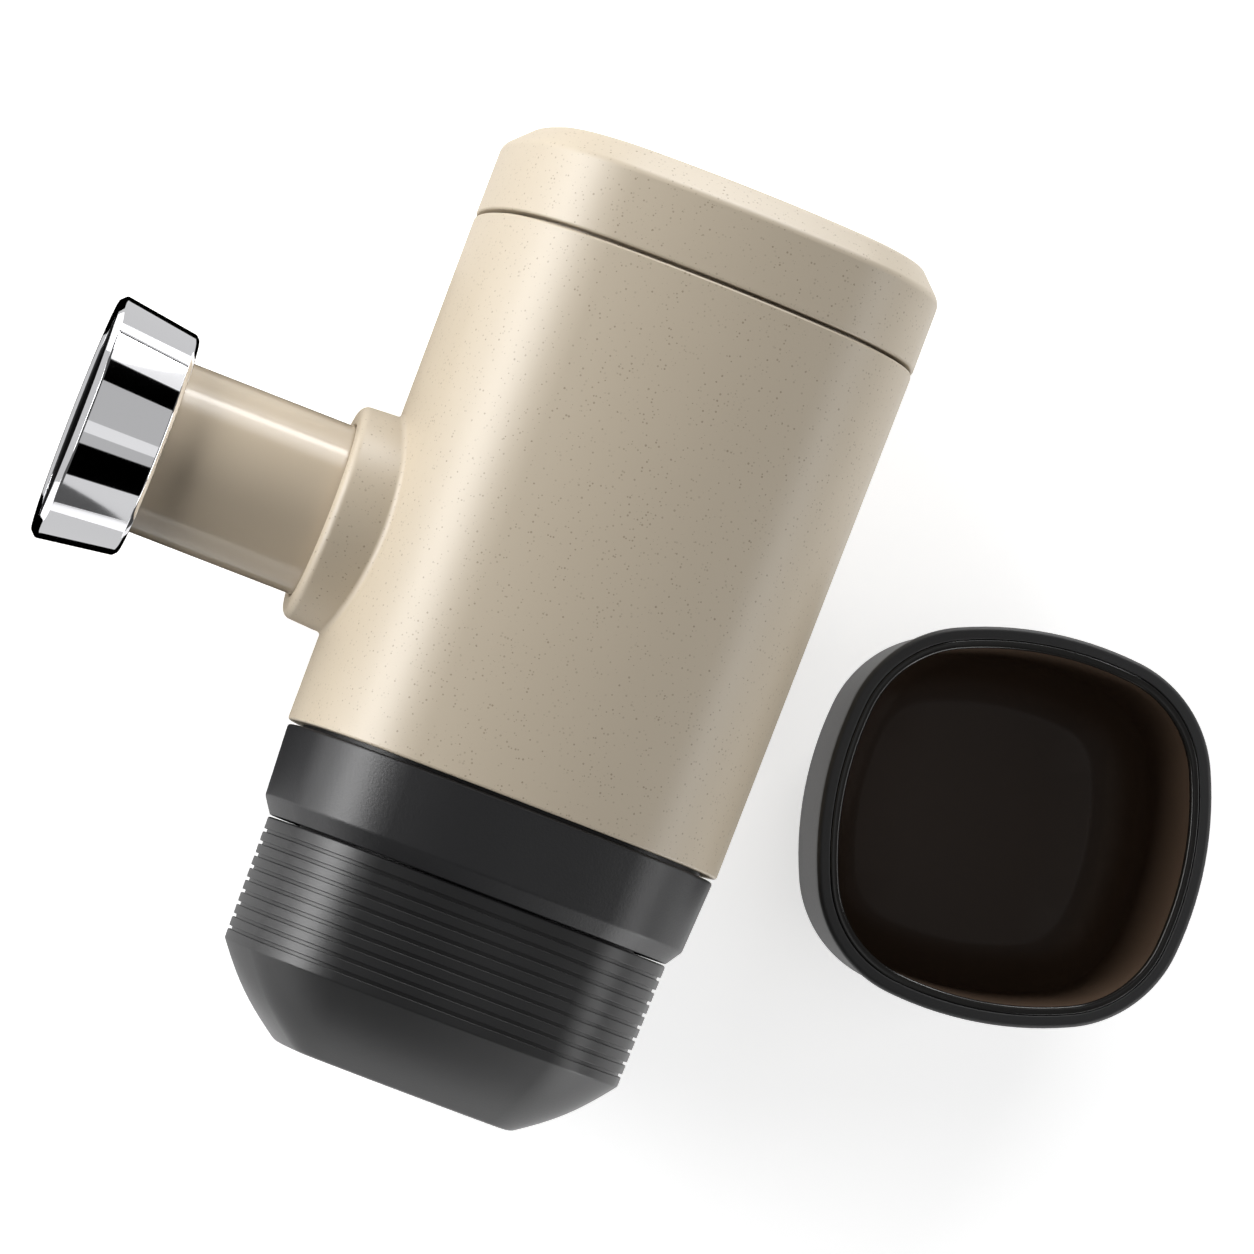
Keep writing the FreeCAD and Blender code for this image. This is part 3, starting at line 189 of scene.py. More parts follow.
def cut_away(piece: bpy.types.Object, cutter: bpy.types.Object) -> None:
    """Cuts one object out of another.

    Args:
        piece: The object that loses material.
        cutter: The object that is cut out, and then deleted.
    """
    apply_modifier(piece, "BOOLEAN", operation="DIFFERENCE", object=cutter, solver="EXACT")
    bpy.data.objects.remove(cutter)


def join_into(piece: bpy.types.Object, others: Sequence[bpy.types.Object]) -> bpy.types.Object:
    """Joins other objects into a piece.

    Args:
        piece: The object that stays.
        others: The objects that become part of it.

    Returns:
        The joined object.
    """
    select_only(piece)
    for other in others:
        other.select_set(True)
    bpy.ops.object.join()
    return piece


def close_ends(piece: bpy.types.Object) -> None:
    """Fills the two open ends of a wound piece and turns its faces outwards.

    Args:
        piece: The object.
    """
    select_only(piece)
    bpy.ops.object.mode_set(mode="EDIT")
    bpy.ops.mesh.select_all(action="SELECT")
    bpy.ops.mesh.remove_doubles(threshold=MERGE)
    bpy.ops.mesh.fill_holes(sides=0)
    bpy.ops.mesh.select_all(action="SELECT")
    bpy.ops.mesh.normals_make_consistent(inside=False)
    bpy.ops.object.mode_set(mode="OBJECT")


class Drawing:
    """A form drawn in edit mode: a chain of vertices that is then carried or turned."""

    def __init__(self, name: str, side: Side = Side.MAKER) -> None:
        """Starts from a small plane that is merged to one vertex.

        Args:
            name: The piece's name.
            side: The frame that the drawing is in.
        """
        deselect_everything()
        bpy.ops.mesh.primitive_plane_add(size=MM)
        self.piece = bpy.context.object
        self.piece.name = name
        self.side = side
        bpy.ops.object.mode_set(mode="EDIT")
        bpy.ops.mesh.select_mode(type="VERT")
        bpy.ops.mesh.select_all(action="SELECT")
        bpy.ops.mesh.merge(type="CENTER")

    def chain(self, spots: Sequence[Spot], closed: bool = False) -> Drawing:
        """Extrudes the vertex from spot to spot and rounds the corners that have a radius.

        Args:
            spots: Millimetres across and up, and a corner radius where there is one.
            closed: Joins the last spot to the first.

        Returns:
            The drawing.
        """
        places = [Vector((spot[0], 0, spot[1])) * MM for spot in spots]
        bpy.ops.transform.translate(value=places[0])
        for start, end in zip(places, places[1:]):
            bpy.ops.mesh.extrude_region_move(TRANSFORM_OT_translate={"value": end - start})
        if closed:
            self.select(lambda co: min((co - places[0]).length, (co - places[-1]).length) < MERGE)
            bpy.ops.mesh.edge_face_add()
        for index, spot in enumerate(spots):
            if len(spot) > 2:
                self.round_corner(places, index, spot[2] * MM, closed)
        return self

    def round_corner(self, places: Sequence[Vector], index: int, radius: float, closed: bool) -> None:
        """Bevels one vertex of the chain to an arc.

        Args:
            places: The chain's corners.
            index: The corner's number.
            radius: The arc's radius in metres.
            closed: Whether the chain's ends are joined.
        """
        corner = places[index]
        before = (places[index - 1] - corner).normalized()
        after = (places[(index + 1) % len(places)] - corner).normalized()
        if not closed and index in (0, len(places) - 1):
            return
        reach = radius / math.tan(before.angle(after) / 2)
        self.select(lambda co: (co - corner).length < MERGE)
        bpy.ops.mesh.bevel(offset_type="OFFSET", offset=reach, segments=BEND_STEPS, profile=0.5,
                           affect="VERTICES")

    def select(self, wanted: Callable[[Vector], bool]) -> Drawing:
        """Selects the vertices whose places pass a test, and deselects all others.

        Args:
            wanted: The test of a vertex's place.

        Returns:
            The drawing.
        """
        bpy.ops.mesh.select_all(action="DESELECT")
        mesh = bmesh.from_edit_mesh(self.piece.data)
        for vertex in mesh.verts:
            vertex.select = wanted(vertex.co)
        mesh.select_flush_mode()
        bmesh.update_edit_mesh(self.piece.data)
        return self

    def carried(self, path: Square, steps: int = CORNER_STEPS) -> Drawing:
        """Carries the chain round a rounded square with bowed sides, from the middle of a side.

        Args:
            path: The rounded square.
            steps: Steps in each corner.

        Returns:
            The drawing.
        """
        bpy.ops.mesh.select_all(action="SELECT")
        side_steps = max(2, steps // 4)
        corner_angle = math.radians(90) - 2 * path.bow
        for quarter in range(4):
            turn = Matrix.Rotation(math.radians(90 * quarter), 3, "Z")
            ahead = Matrix.Rotation(math.radians(90 * (quarter + 1)), 3, "Z")
            side = Vector((-path.back, 0, 0)) * MM
            corner = Vector((path.corner, path.corner, 0)) * MM
            self.swung(turn @ side, path.bow, side_steps)
            self.swung(turn @ corner, corner_angle, steps)
            self.swung(ahead @ side, path.bow, side_steps)
        return self.closed_up()

    def swung(self, centre: Vector, angle: float, steps: int) -> None:
        """Carries the selected chain along an arc, counter-clockwise seen from above.

        Args:
            centre: The arc's centre in metres.
            angle: The arc's angle.
            steps: Steps in the arc.
        """
        bpy.ops.mesh.spin(steps=steps, angle=-angle, center=centre, axis=(0, 0, 1))

    def turned(self, steps: int = ROUND_STEPS) -> Drawing:
        """Turns the chain once round the upright axis.

        Args:
            steps: Steps in the full turn.

        Returns:
            The drawing.
        """
        bpy.ops.mesh.select_all(action="SELECT")
        bpy.ops.mesh.spin(steps=steps, angle=math.radians(360), center=(0, 0, 0), axis=(0, 0, 1))
        return self.closed_up()

    def closed_up(self) -> Drawing:
        """Merges the ends, fills the small squares left in the middle and turns the faces outwards."""
        bpy.ops.mesh.select_all(action="SELECT")
        bpy.ops.mesh.remove_doubles(threshold=MERGE)
        bpy.ops.mesh.fill_holes(sides=0)
        bpy.ops.mesh.select_all(action="SELECT")
        bpy.ops.mesh.normals_make_consistent(inside=False)
        return self

    def done(self) -> bpy.types.Object:
        """Leaves edit mode.

        Returns:
            The drawn object, still upright.
        """
        bpy.ops.object.mode_set(mode="OBJECT")
        return self.piece


def drum(name: str, radius: float, low: float, high: float, side: Side = Side.MAKER) -> Drawing:
    """Draws a plain cylinder to cut with.

    Args:
        name: Its name.
        radius: Its radius.
        low: Where it starts.
        high: Where it ends.
        side: The frame that it is drawn in.

    Returns:
        The drawing.
    """
    return Drawing(name, side).chain([(0, low), (radius, low), (radius, high), (0, high)]).turned(HOLE_STEPS)


@dataclass(frozen=True)
class Finish:
    """A procedural surface: its colours, its gloss and its grain."""

    name: str
    slot: str
    colour: tuple[float, float, float]
    dark: tuple[float, float, float]
    roughness: float = 0.45
    roughness_spread: float = 0.08
    grain_size: float = 0.5
    grain_depth: float = 0.02
    speck_share: float = 0.0
    speck_size: float = 0.6
    drift: float = 0.15
    metallic: float = 0.0
    coat: float = 0.0
    coat_roughness: float = 0.1
    specular: float = 0.5
    transmission: float = 0.0

    def build(self) -> bpy.types.Material:
        """Makes the node material, once.

        Returns:
            The material.
        """
        found = bpy.data.materials.get(self.name)
        if found:
            return found
        material = bpy.data.materials.new(self.name)
        material.use_nodes = True
        tree = material.node_tree
        tree.nodes.clear()
        output = tree.nodes.new("ShaderNodeOutputMaterial")
        shader = tree.nodes.new("ShaderNodeBsdfPrincipled")
        surface = tree.nodes.new("ShaderNodeGroup")
        surface.node_tree = moulded_surface()
        coordinates = tree.nodes.new("ShaderNodeTexCoord")
        tree.links.new(coordinates.outputs["Object"], surface.inputs["Place"])
        for socket, value in {
            "Colour": (*self.colour, 1), "Dark": (*self.dark, 1), "Roughness": self.roughness,
            "Roughness Spread": self.roughness_spread, "Grain Size": self.grain_size * MM,
            "Grain Depth": self.grain_depth * MM, "Speck Share": self.speck_share,
            "Speck Size": self.speck_size * MM, "Drift": self.drift,
        }.items():
            surface.inputs[socket].default_value = value
        for source, target in (("Colour", "Base Color"), ("Roughness", "Roughness"), ("Normal", "Normal")):
            tree.links.new(surface.outputs[source], shader.inputs[target])
        for socket, value in {
            "Metallic": self.metallic, "Coat Weight": self.coat, "Coat Roughness": self.coat_roughness,
            "Specular IOR Level": self.specular, "Transmission Weight": self.transmission,
        }.items():
            shader.inputs[socket].default_value = value
        tree.links.new(shader.outputs["BSDF"], output.inputs["Surface"])
        return material


def srgb(red: int, green: int, blue: int) -> tuple[float, float, float]:
    """Turns screen colours from 0 to 255 into linear ones.

    Args:
        red: Red.
        green: Green.
        blue: Blue.

    Returns:
        The linear colour.
    """
    parts = [part / 255 for part in (red, green, blue)]
    return tuple(p / 12.92 if p <= 0.04045 else ((p + 0.055) / 1.055) ** 2.4 for p in parts)


def new_group(name: str, inputs: dict[str, object], outputs: dict[str, str]) -> bpy.types.NodeTree:
    """Makes an empty shader group with named sockets.

    Args:
        name: The group's name.
        inputs: Each input's starting value, or None for a vector.
        outputs: Each output's socket type.

    Returns:
        The group.
    """
    group = bpy.data.node_groups.new(name, "ShaderNodeTree")
    for socket, value in inputs.items():
        if value is None:
            kind = "NodeSocketVector"
        else:
            kind = "NodeSocketFloat" if isinstance(value, float) else "NodeSocketColor"
        made = group.interface.new_socket(name=socket, in_out="INPUT", socket_type=kind)
        if value is not None:
            made.default_value = value
    for socket, kind in outputs.items():
        group.interface.new_socket(name=socket, in_out="OUTPUT", socket_type=kind)
    return group


def moulded_surface() -> bpy.types.NodeTree:
    """The shared surface of every finish: colour drift, specks, uneven gloss and fine grain.

    Returns:
        The group, made once.
    """
    name = "moulded_surface"
    if name in bpy.data.node_groups:
        return bpy.data.node_groups[name]
    group = new_group(
        name,
        {"Place": None, "Colour": (0.5, 0.5, 0.5, 1), "Dark": (0.3, 0.3, 0.3, 1), "Roughness": 0.5,
         "Roughness Spread": 0.1, "Grain Size": 0.0005, "Grain Depth": 0.00002, "Speck Share": 0.0,
         "Speck Size": 0.0006, "Drift": 0.1},
        {"Colour": "NodeSocketColor", "Roughness": "NodeSocketFloat", "Normal": "NodeSocketVector"},
    )
    nodes, links = group.nodes, group.links
    source = nodes.new("NodeGroupInput").outputs
    sink = nodes.new("NodeGroupOutput").inputs

    def math_node(operation: str, *values: object) -> bpy.types.NodeSocket:
        """Adds a math node whose inputs are sockets or numbers."""
        node = nodes.new("ShaderNodeMath")
        node.operation = operation
        for socket, value in zip(node.inputs, values):
            if isinstance(value, (int, float)):
                socket.default_value = value
            else:
                links.new(value, socket)
        return node.outputs[0]

    def noise(scale: object, detail: float, roughness: float = 0.5) -> bpy.types.NodeSocket:
        """Adds a noise texture over the surface's place."""
        node = nodes.new("ShaderNodeTexNoise")
        node.inputs["Detail"].default_value = detail
        node.inputs["Roughness"].default_value = roughness
        links.new(source["Place"], node.inputs["Vector"])
        if isinstance(scale, (int, float)):
            node.inputs["Scale"].default_value = scale
        else:
            links.new(scale, node.inputs["Scale"])
        return node.outputs["Fac"]

    def mixed(share: bpy.types.NodeSocket, first: bpy.types.NodeSocket,
              second: bpy.types.NodeSocket) -> bpy.types.NodeSocket:
        """Adds a colour mix."""
        node = nodes.new("ShaderNodeMix")
        node.data_type = "RGBA"
        links.new(share, node.inputs["Factor"])
        links.new(first, node.inputs["A"])
        links.new(second, node.inputs["B"])
        return node.outputs["Result"]

    grain = noise(math_node("DIVIDE", 1.0, source["Grain Size"]), 3.0, 0.6)
    cloud = noise(CLOUD_SCALE, 2.0)
    drifted = mixed(math_node("MULTIPLY", cloud, source["Drift"]), source["Colour"], source["Dark"])
    cells = nodes.new("ShaderNodeTexVoronoi")
    links.new(source["Place"], cells.inputs["Vector"])
    links.new(math_node("DIVIDE", 0.5, source["Speck Size"]), cells.inputs["Scale"])
    tint = nodes.new("ShaderNodeSeparateColor")
    links.new(cells.outputs["Color"], tint.inputs["Color"])
    chosen = math_node("LESS_THAN", tint.outputs[0], source["Speck Share"])
    spread = math_node("MULTIPLY", tint.outputs[1], SPECK_REACH)
    spot = math_node("LESS_THAN", cells.outputs["Distance"], spread)
    strength = math_node("ADD", math_node("MULTIPLY", tint.outputs[2], SPECK_SPREAD), SPECK_FAINT)
    speck = math_node("MULTIPLY", math_node("MULTIPLY", chosen, spot), strength)
    links.new(mixed(speck, drifted, source["Dark"]), sink["Colour"])
    uneven = math_node("MULTIPLY", math_node("SUBTRACT", grain, 0.5), source["Roughness Spread"])
    links.new(math_node("ADD", source["Roughness"], uneven), sink["Roughness"])
    bump = nodes.new("ShaderNodeBump")
    bump.inputs["Strength"].default_value = 1.0
    bump.inputs["Distance"].default_value = 1.0
    links.new(math_node("MULTIPLY", grain, source["Grain Depth"]), bump.inputs["Height"])
    links.new(bump.outputs["Normal"], sink["Normal"])
    return group


STONE = Finish("speckled_sand", "stone_shell", srgb(197, 184, 163), srgb(118, 98, 72), roughness=0.47,
               grain_size=0.32, grain_depth=0.012, speck_share=0.7, speck_size=0.25, drift=0.1, specular=1.0)
BLACK = Finish("satin_black", "black_plastic", srgb(25, 25, 26), srgb(14, 14, 15), roughness=0.41,
               grain_size=0.3, grain_depth=0.012, drift=0.3, specular=0.7)
BAND_BLACK = Finish("grained_black", "black_grain", srgb(26, 26, 28), srgb(14, 14, 15), roughness=0.43,
                    grain_size=0.42, grain_depth=0.03, drift=0.3, specular=0.7)
TAUPE = Finish("gloss_taupe", "taupe_sleeve", srgb(198, 184, 163), srgb(168, 153, 133), roughness=0.2,
               roughness_spread=0.03, grain_size=2.0, grain_depth=0.0, drift=0.1, coat=0.3)
CHROME = Finish("polished_chrome", "knob_chrome", (0.86, 0.86, 0.88), (0.74, 0.74, 0.76), roughness=0.04,
                roughness_spread=0.02, grain_size=3.0, grain_depth=0.0, drift=0.1, metallic=1.0)
KNOB_END = Finish("gloss_black", "knob_end_black", srgb(14, 14, 15), srgb(8, 8, 8), roughness=0.5,
                  roughness_spread=0.04, grain_size=1.0, grain_depth=0.001, drift=0.2, specular=0.1)
INNER = Finish("warm_grey", "inner_plastic", srgb(78, 78, 80), srgb(46, 46, 48), roughness=0.5, grain_depth=0.01)
PUMP = Finish("dark_speckled", "pump_plastic", srgb(48, 48, 50), srgb(26, 26, 27), roughness=0.46,
              grain_size=0.6, grain_depth=0.016, speck_share=0.25, speck_size=0.4)
RUBBER = Finish("matt_rubber", "seal_rubber", srgb(32, 32, 32), srgb(18, 18, 18), roughness=0.62,
                grain_depth=0.006)
SILICONE = Finish("milky_silicone", "clear_silicone", srgb(226, 228, 226), srgb(196, 198, 196), roughness=0.3,
                  grain_depth=0.0, transmission=0.35)
STEEL = Finish("plain_steel", "steel", (0.62, 0.62, 0.63), (0.45, 0.45, 0.46), roughness=0.28, grain_size=0.25,
               grain_depth=0.002, metallic=1.0)
CUP_BLACK = Finish("cup_satin_black", "cup_black", srgb(38, 38, 39), srgb(20, 20, 21), roughness=0.5,
                   grain_size=0.36, grain_depth=0.02, drift=0.3)
# The liner's brown grey is partly its own dark colour and partly a painted reflection of coffee.
CUP_INNER_COFFEE_REFLECTION = Finish("cup_grey_with_painted_coffee_reflection", "cup_inner", srgb(98, 80, 66), srgb(60, 49, 41), roughness=0.36,
                   grain_size=0.4, grain_depth=0.006, drift=0.3)
CUP_EDGE = Finish("cup_edge_gloss", "cup_inner", srgb(30, 29, 28), srgb(20, 19, 18), roughness=0.18,
                  grain_size=0.8, grain_depth=0.002, drift=0.2)
FINISHES = {finish.slot: finish for finish in (
    STONE, BLACK, BAND_BLACK, TAUPE, CHROME, KNOB_END, INNER, PUMP, RUBBER, SILICONE, STEEL, CUP_BLACK,
    CUP_INNER_COFFEE_REFLECTION)}


@dataclass
class Workshop:
    """Lays drawn pieces where they belong, gives them body and finish, and hides the nodes they stand for."""

    layout: Layout

    def place(self, drawing: Drawing | bpy.types.Object, side: Side | None = None) -> bpy.types.Object:
        """Lays a piece in its place, with its place in its mesh.

        Args:
            drawing: The drawing or object.
            side: The frame it was drawn in, if it is an object.

        Returns:
            The object, at the origin and unturned.
        """
        piece = drawing.done() if isinstance(drawing, Drawing) else drawing
        frame = drawing.side if isinstance(drawing, Drawing) else side
        select_only(piece)
        piece.matrix_world = self.layout.places[frame]
        bpy.ops.object.transform_apply(location=True, rotation=True, scale=True)
        return piece

    def dress(self, piece: bpy.types.Object, finish: Finish, body: str, *nodes: str) -> bpy.types.Object:
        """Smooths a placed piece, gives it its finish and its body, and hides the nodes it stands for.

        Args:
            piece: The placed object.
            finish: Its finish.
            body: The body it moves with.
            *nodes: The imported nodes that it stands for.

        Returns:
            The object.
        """
        select_only(piece)
        bpy.ops.object.shade_smooth_by_angle(angle=SMOOTH_ANGLE)
        apply_modifier(piece, "WEIGHTED_NORMAL", keep_sharp=True)
        piece.data.materials.clear()
        piece.data.materials.append(finish.build())
        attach(piece, body)
        if nodes:
            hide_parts(*nodes)
        LOG.info("%s: %d faces, rides on %s", piece.name, len(piece.data.polygons), body)
        return piece


@dataclass
class BodyPart:
    """The sand coloured body: its wall and the collar of the pump."""

    bottom: float = 43.9
    top: float = 121.4
    half_low: float = 32.7
    half_high: float = 33.35
    wall: float = 2.4
    edge: float = 0.4
    pump_height: float = 73.5
    collar_face: float = -39.1
    collar_rim: float = 16.2
    collar_root: float = 16.5
    collar_round: float = 1.3
    mouth: float = 13.2
    mouth_edge: float = 0.35
    bore: float = 14.73
    hole_depth: float = 45.0
    mark_reach: float = 19.0
    collar_side: float = -34.2
    collar_foot: float = -32.0
    collar_back: float = -30.3
    foot_lift: float = 0.015
    corner_near: float = 0.05
    fillet: float = 0.8
    fillet_steps: int = 6

    def half_at(self, height: float) -> float:
        """Half the body's outer width at a height."""
        share = (height - self.bottom) / (self.top - self.bottom)
        return self.half_low + (self.half_high - self.half_low) * share

    def make_wall(self, shop: Workshop) -> bpy.types.Object:
        """Draws the wall, with the round opening that the pump comes out of.

        Args:
            shop: The workshop.

        Returns:
            The placed wall.
        """
        marks = (self.pump_height - self.mark_reach, self.pump_height + self.mark_reach)
        outer = [(self.half_low, self.bottom, self.edge)]
        outer += [(self.half_at(mark), mark) for mark in marks]
        outer += [(self.half_high, self.top, self.edge)]
        inner = [(self.half_high - self.wall, self.top)]
        inner += [(self.half_at(mark) - self.wall, mark) for mark in reversed(marks)]
        inner += [(self.half_low - self.wall, self.bottom)]
        placed = shop.place(Drawing("body_wall").chain(outer + inner, closed=True).carried(MAKER_SQUARE))
        cut_away(placed, shop.place(drum("hole", self.bore, -self.hole_depth, 0, Side.PUMP)))
        return placed

    def make_collar(self, shop: Workshop, wall: bpy.types.Object) -> bpy.types.Object:
        """Draws the collar, lays its foot on the wall and rounds the hollow corner between them.

        Args:
            shop: The workshop.
            wall: The placed body wall.

        Returns:
            The placed collar.
        """
        spread = self.collar_root + 2 * self.fillet
        drawing = Drawing("pump_collar", Side.PUMP)
        drawing.chain([(self.mouth, self.collar_back), (self.mouth, self.collar_face, self.mouth_edge),
                       (self.collar_rim, self.collar_face, self.collar_round),
                       (self.collar_root, self.collar_side), (self.collar_root, self.collar_foot),
                       (spread, self.collar_foot), (spread, self.collar_back)], closed=True).turned()
        collar = shop.place(drawing)
        pump = shop.layout.places[Side.PUMP].inverted()
        foot = collar.vertex_groups.new(name="foot")
        corner = collar.vertex_groups.new(name="corner")
        for vertex in collar.data.vertices:
            local = pump @ vertex.co
            reach = math.hypot(local.x, local.y)
            if abs(local.z - self.collar_foot * MM) < MERGE and reach > (self.mouth + 1) * MM:
                foot.add([vertex.index], 1.0, "REPLACE")
                if abs(reach - self.collar_root * MM) < self.corner_near * MM:
                    corner.add([vertex.index], 1.0, "REPLACE")
        apply_modifier(collar, "SHRINKWRAP", target=wall, wrap_method="PROJECT", use_project_x=True,
                       use_negative_direction=True, use_positive_direction=True, vertex_group="foot",
                       offset=self.foot_lift * MM)
        apply_modifier(collar, "BEVEL", limit_method="VGROUP", vertex_group="corner", width=self.fillet * MM,
                       segments=self.fillet_steps, offset_type="OFFSET")
        return collar

    def make(self, shop: Workshop) -> None:
        """Makes the wall and the collar of the body.

        Args:
            shop: The workshop.
        """
        wall = self.make_wall(shop)
        collar = self.make_collar(shop, wall)
        for piece in (wall, collar):
            shop.dress(piece, STONE, "body", "body_shell")


@dataclass
class CapPart:
    """The push-on cap."""

    half: float = 33.35
    bottom: float = 121.9
    top: float = 136.0
    chamfer: float = 3.6
    chamfer_round: float = 1.6
    edge: float = 0.4
    plate: float = 2.6
    skirt_outer: float = 30.55
    skirt_wall: float = 1.7
    skirt_depth: float = 6.4
    groove_top: float = 119.3
    groove_bottom: float = 117.7
    groove_depth: float = 0.8
    inner_round: float = 1.0

    def make(self, shop: Workshop) -> None:
        """Draws the cap from the middle of its top to the middle of its ceiling.

        Args:
            shop: The workshop.
        """
        inner = self.skirt_outer - self.skirt_wall
        skirt_bottom = self.bottom - self.skirt_depth
        ceiling = self.top - self.plate
        floor = self.skirt_outer - self.groove_depth
        core = MAKER_SQUARE.core
        cap = Drawing("cap").chain([
            (core, self.top), (self.half - self.chamfer, self.top, self.chamfer_round),
            (self.half, self.top - self.chamfer, self.chamfer_round), (self.half, self.bottom, self.edge),
            (self.skirt_outer, self.bottom), (self.skirt_outer, self.groove_top), (floor, self.groove_top),
            (floor, self.groove_bottom), (self.skirt_outer, self.groove_bottom),
            (self.skirt_outer, skirt_bottom, self.edge), (inner, skirt_bottom, self.edge),
            (inner, ceiling - self.chamfer, self.inner_round), (inner - self.chamfer, ceiling, self.inner_round),
            (core, ceiling)]).carried(MAKER_SQUARE)
        shop.dress(shop.place(cap), STONE, "cap", "top_cap")


@dataclass
class TankPart:
    """The black ribbed water tank with its screw neck."""

    height: float = 29.8
    foot_half: float = 18.0
    dome_height: float = 11.3
    half_low: float = 29.95
    half_high: float = 30.3
    wall: float = 2.2
    floor: float = 2.6
    rib_pitch: float = 1.85
    rib_top: float = 1.8
    grooves: int = 9
    groove_width: float = 0.5
    groove_depth: float = 0.5
    neck_radius: float = 26.4
    neck_wall: float = 2.2
    neck_top: float = 40.0
    thread_depth: float = 0.7
    thread_width: float = 1.3
    thread_lead: float = 12.0
    thread_starts: int = 4
    thread_turn: float = math.radians(210)
    thread_start: float = 0.7
    thread_crest: float = 0.4
    thread_sunk: float = 0.2
    thread_steps: int = 72
    bulge: float = 0.8
    foot_round: float = 1.6
    crease_round: float = 0.5
    top_round: float = 0.3
    lip_round: float = 0.12
    hollow_rise: float = 0.4
    bore_below: float = 1.0
    bore_above: float = 3.0
    neck_sunk: float = 0.3
    neck_round: float = 0.4

    def threads(self, root: float) -> list[bpy.types.Object]:
        """Draws the thread's ridges, one for each start, wound up the neck.

        Args:
            root: The neck's radius between the ridges.

        Returns:
            The ridges.
        """
        ridges = []
        low = self.height + self.thread_start
        crest = self.thread_width * self.thread_crest
        sunk = root - self.thread_sunk
        for start in range(self.thread_starts):
            ridge = Drawing("ridge").chain([
                (sunk, low), (root, low), (self.neck_radius, low + (self.thread_width - crest) / 2),
                (self.neck_radius, low + (self.thread_width + crest) / 2), (root, low + self.thread_width),
                (sunk, low + self.thread_width)], closed=True).done()
            share = self.thread_turn / math.radians(360)
            apply_modifier(ridge, "SCREW", angle=-self.thread_turn, screw_offset=self.thread_lead * share * MM,
                           steps=self.thread_steps, render_steps=self.thread_steps, use_merge_vertices=False)
            close_ends(ridge)
            self.turn_by(ridge, start * math.radians(360) / self.thread_starts)
            ridges.append(ridge)
        return ridges

    def turn_by(self, ridge: bpy.types.Object, angle: float) -> None:
        """Turns a ridge round the upright axis, with its place in its mesh.

        Args:
            ridge: The ridge.
            angle: How far it is turned.
        """
        ridge.matrix_world = Matrix.Rotation(angle, 4, "Z")
        select_only(ridge)
        bpy.ops.object.transform_apply(location=True, rotation=True, scale=True)

    def half_at(self, height: float) -> float:
        """Half the outer width of the ribbed side at a height."""
        share = (height - self.dome_height) / (self.height - self.dome_height)
        return self.half_low + (self.half_high - self.half_low) * share

    def rib_spots(self) -> list[Spot]:
        """The grooves between the grip ribs, with softly rounded lips.

        Returns:
            The spots from the lowest groove up.
        """
        spots: list[Spot] = []
        lowest = self.height - self.rib_top - self.groove_width - (self.grooves - 1) * self.rib_pitch
        for index in range(self.grooves):
            start = lowest + index * self.rib_pitch
            end = start + self.groove_width
            low, high = self.half_at(start), self.half_at(end)
            spots += [(low, start, self.lip_round), (low - self.groove_depth, start),
                      (high - self.groove_depth, end), (high, end, self.lip_round)]
        return spots

    def dome(self, outer: tuple[float, float], inner: tuple[float, float], steps: int = 12) -> list[Spot]:
        """The slightly swollen slope between the foot and the ribbed side.

        Args:
            outer: The first end.
            inner: The second end.
            steps: The number of steps.

        Returns:
            The spots between the two ends.
        """
        run = Vector((inner[0] - outer[0], inner[1] - outer[1]))
        side = Vector((run.y, -run.x)).normalized()
        shares = [step / steps for step in range(1, steps)]
        return [tuple(Vector(outer) + run * share + side * self.bulge * math.sin(math.pi * share))
                for share in shares]

    def make(self, shop: Workshop) -> None:
        """Draws the tank, hollows it and puts the neck on it.

        Args:
            shop: The workshop.
        """
        core = MAKER_SQUARE.core
        foot, crease = (self.foot_half, 0.0), (self.half_low, self.dome_height)
        outside = [(core, 0), (*foot, self.foot_round), *self.dome(foot, crease), (*crease, self.crease_round),
                   *self.rib_spots(), (self.half_high, self.height, self.top_round), (core, self.height)]
        tank = Drawing("tank").chain(outside).carried(MAKER_SQUARE).done()
        inner = self.half_high - self.wall - self.groove_depth
        low_foot = (self.foot_half - self.wall, self.floor)
        low_crease = (inner, self.dome_height + self.hollow_rise)
        inside = [(core, self.floor), low_foot, *self.dome(low_foot, low_crease), low_crease,
                  (inner, self.height - self.wall), (core, self.height - self.wall)]
        hollow = Drawing("tank_hollow").chain(inside).carried(MAKER_SQUARE, INNER_STEPS).done()
        bore_radius = self.neck_radius - self.neck_wall
        low, high = self.height - self.wall - self.bore_below, self.height + self.bore_above
        bore = drum("tank_bore", bore_radius, low, high).done()
        cut_away(tank, hollow)
        cut_away(tank, bore)
        root = self.neck_radius - self.thread_depth
        neck = Drawing("neck").chain([
            (bore_radius, self.height - self.neck_sunk), (root, self.height - self.neck_sunk),
            (root, self.neck_top, self.neck_round), (bore_radius, self.neck_top, self.neck_round)],
            closed=True).turned().done()
        join_into(tank, [neck, *self.threads(root)])
        shop.dress(shop.place(tank, Side.MAKER), BLACK, "tank", "water_tank")


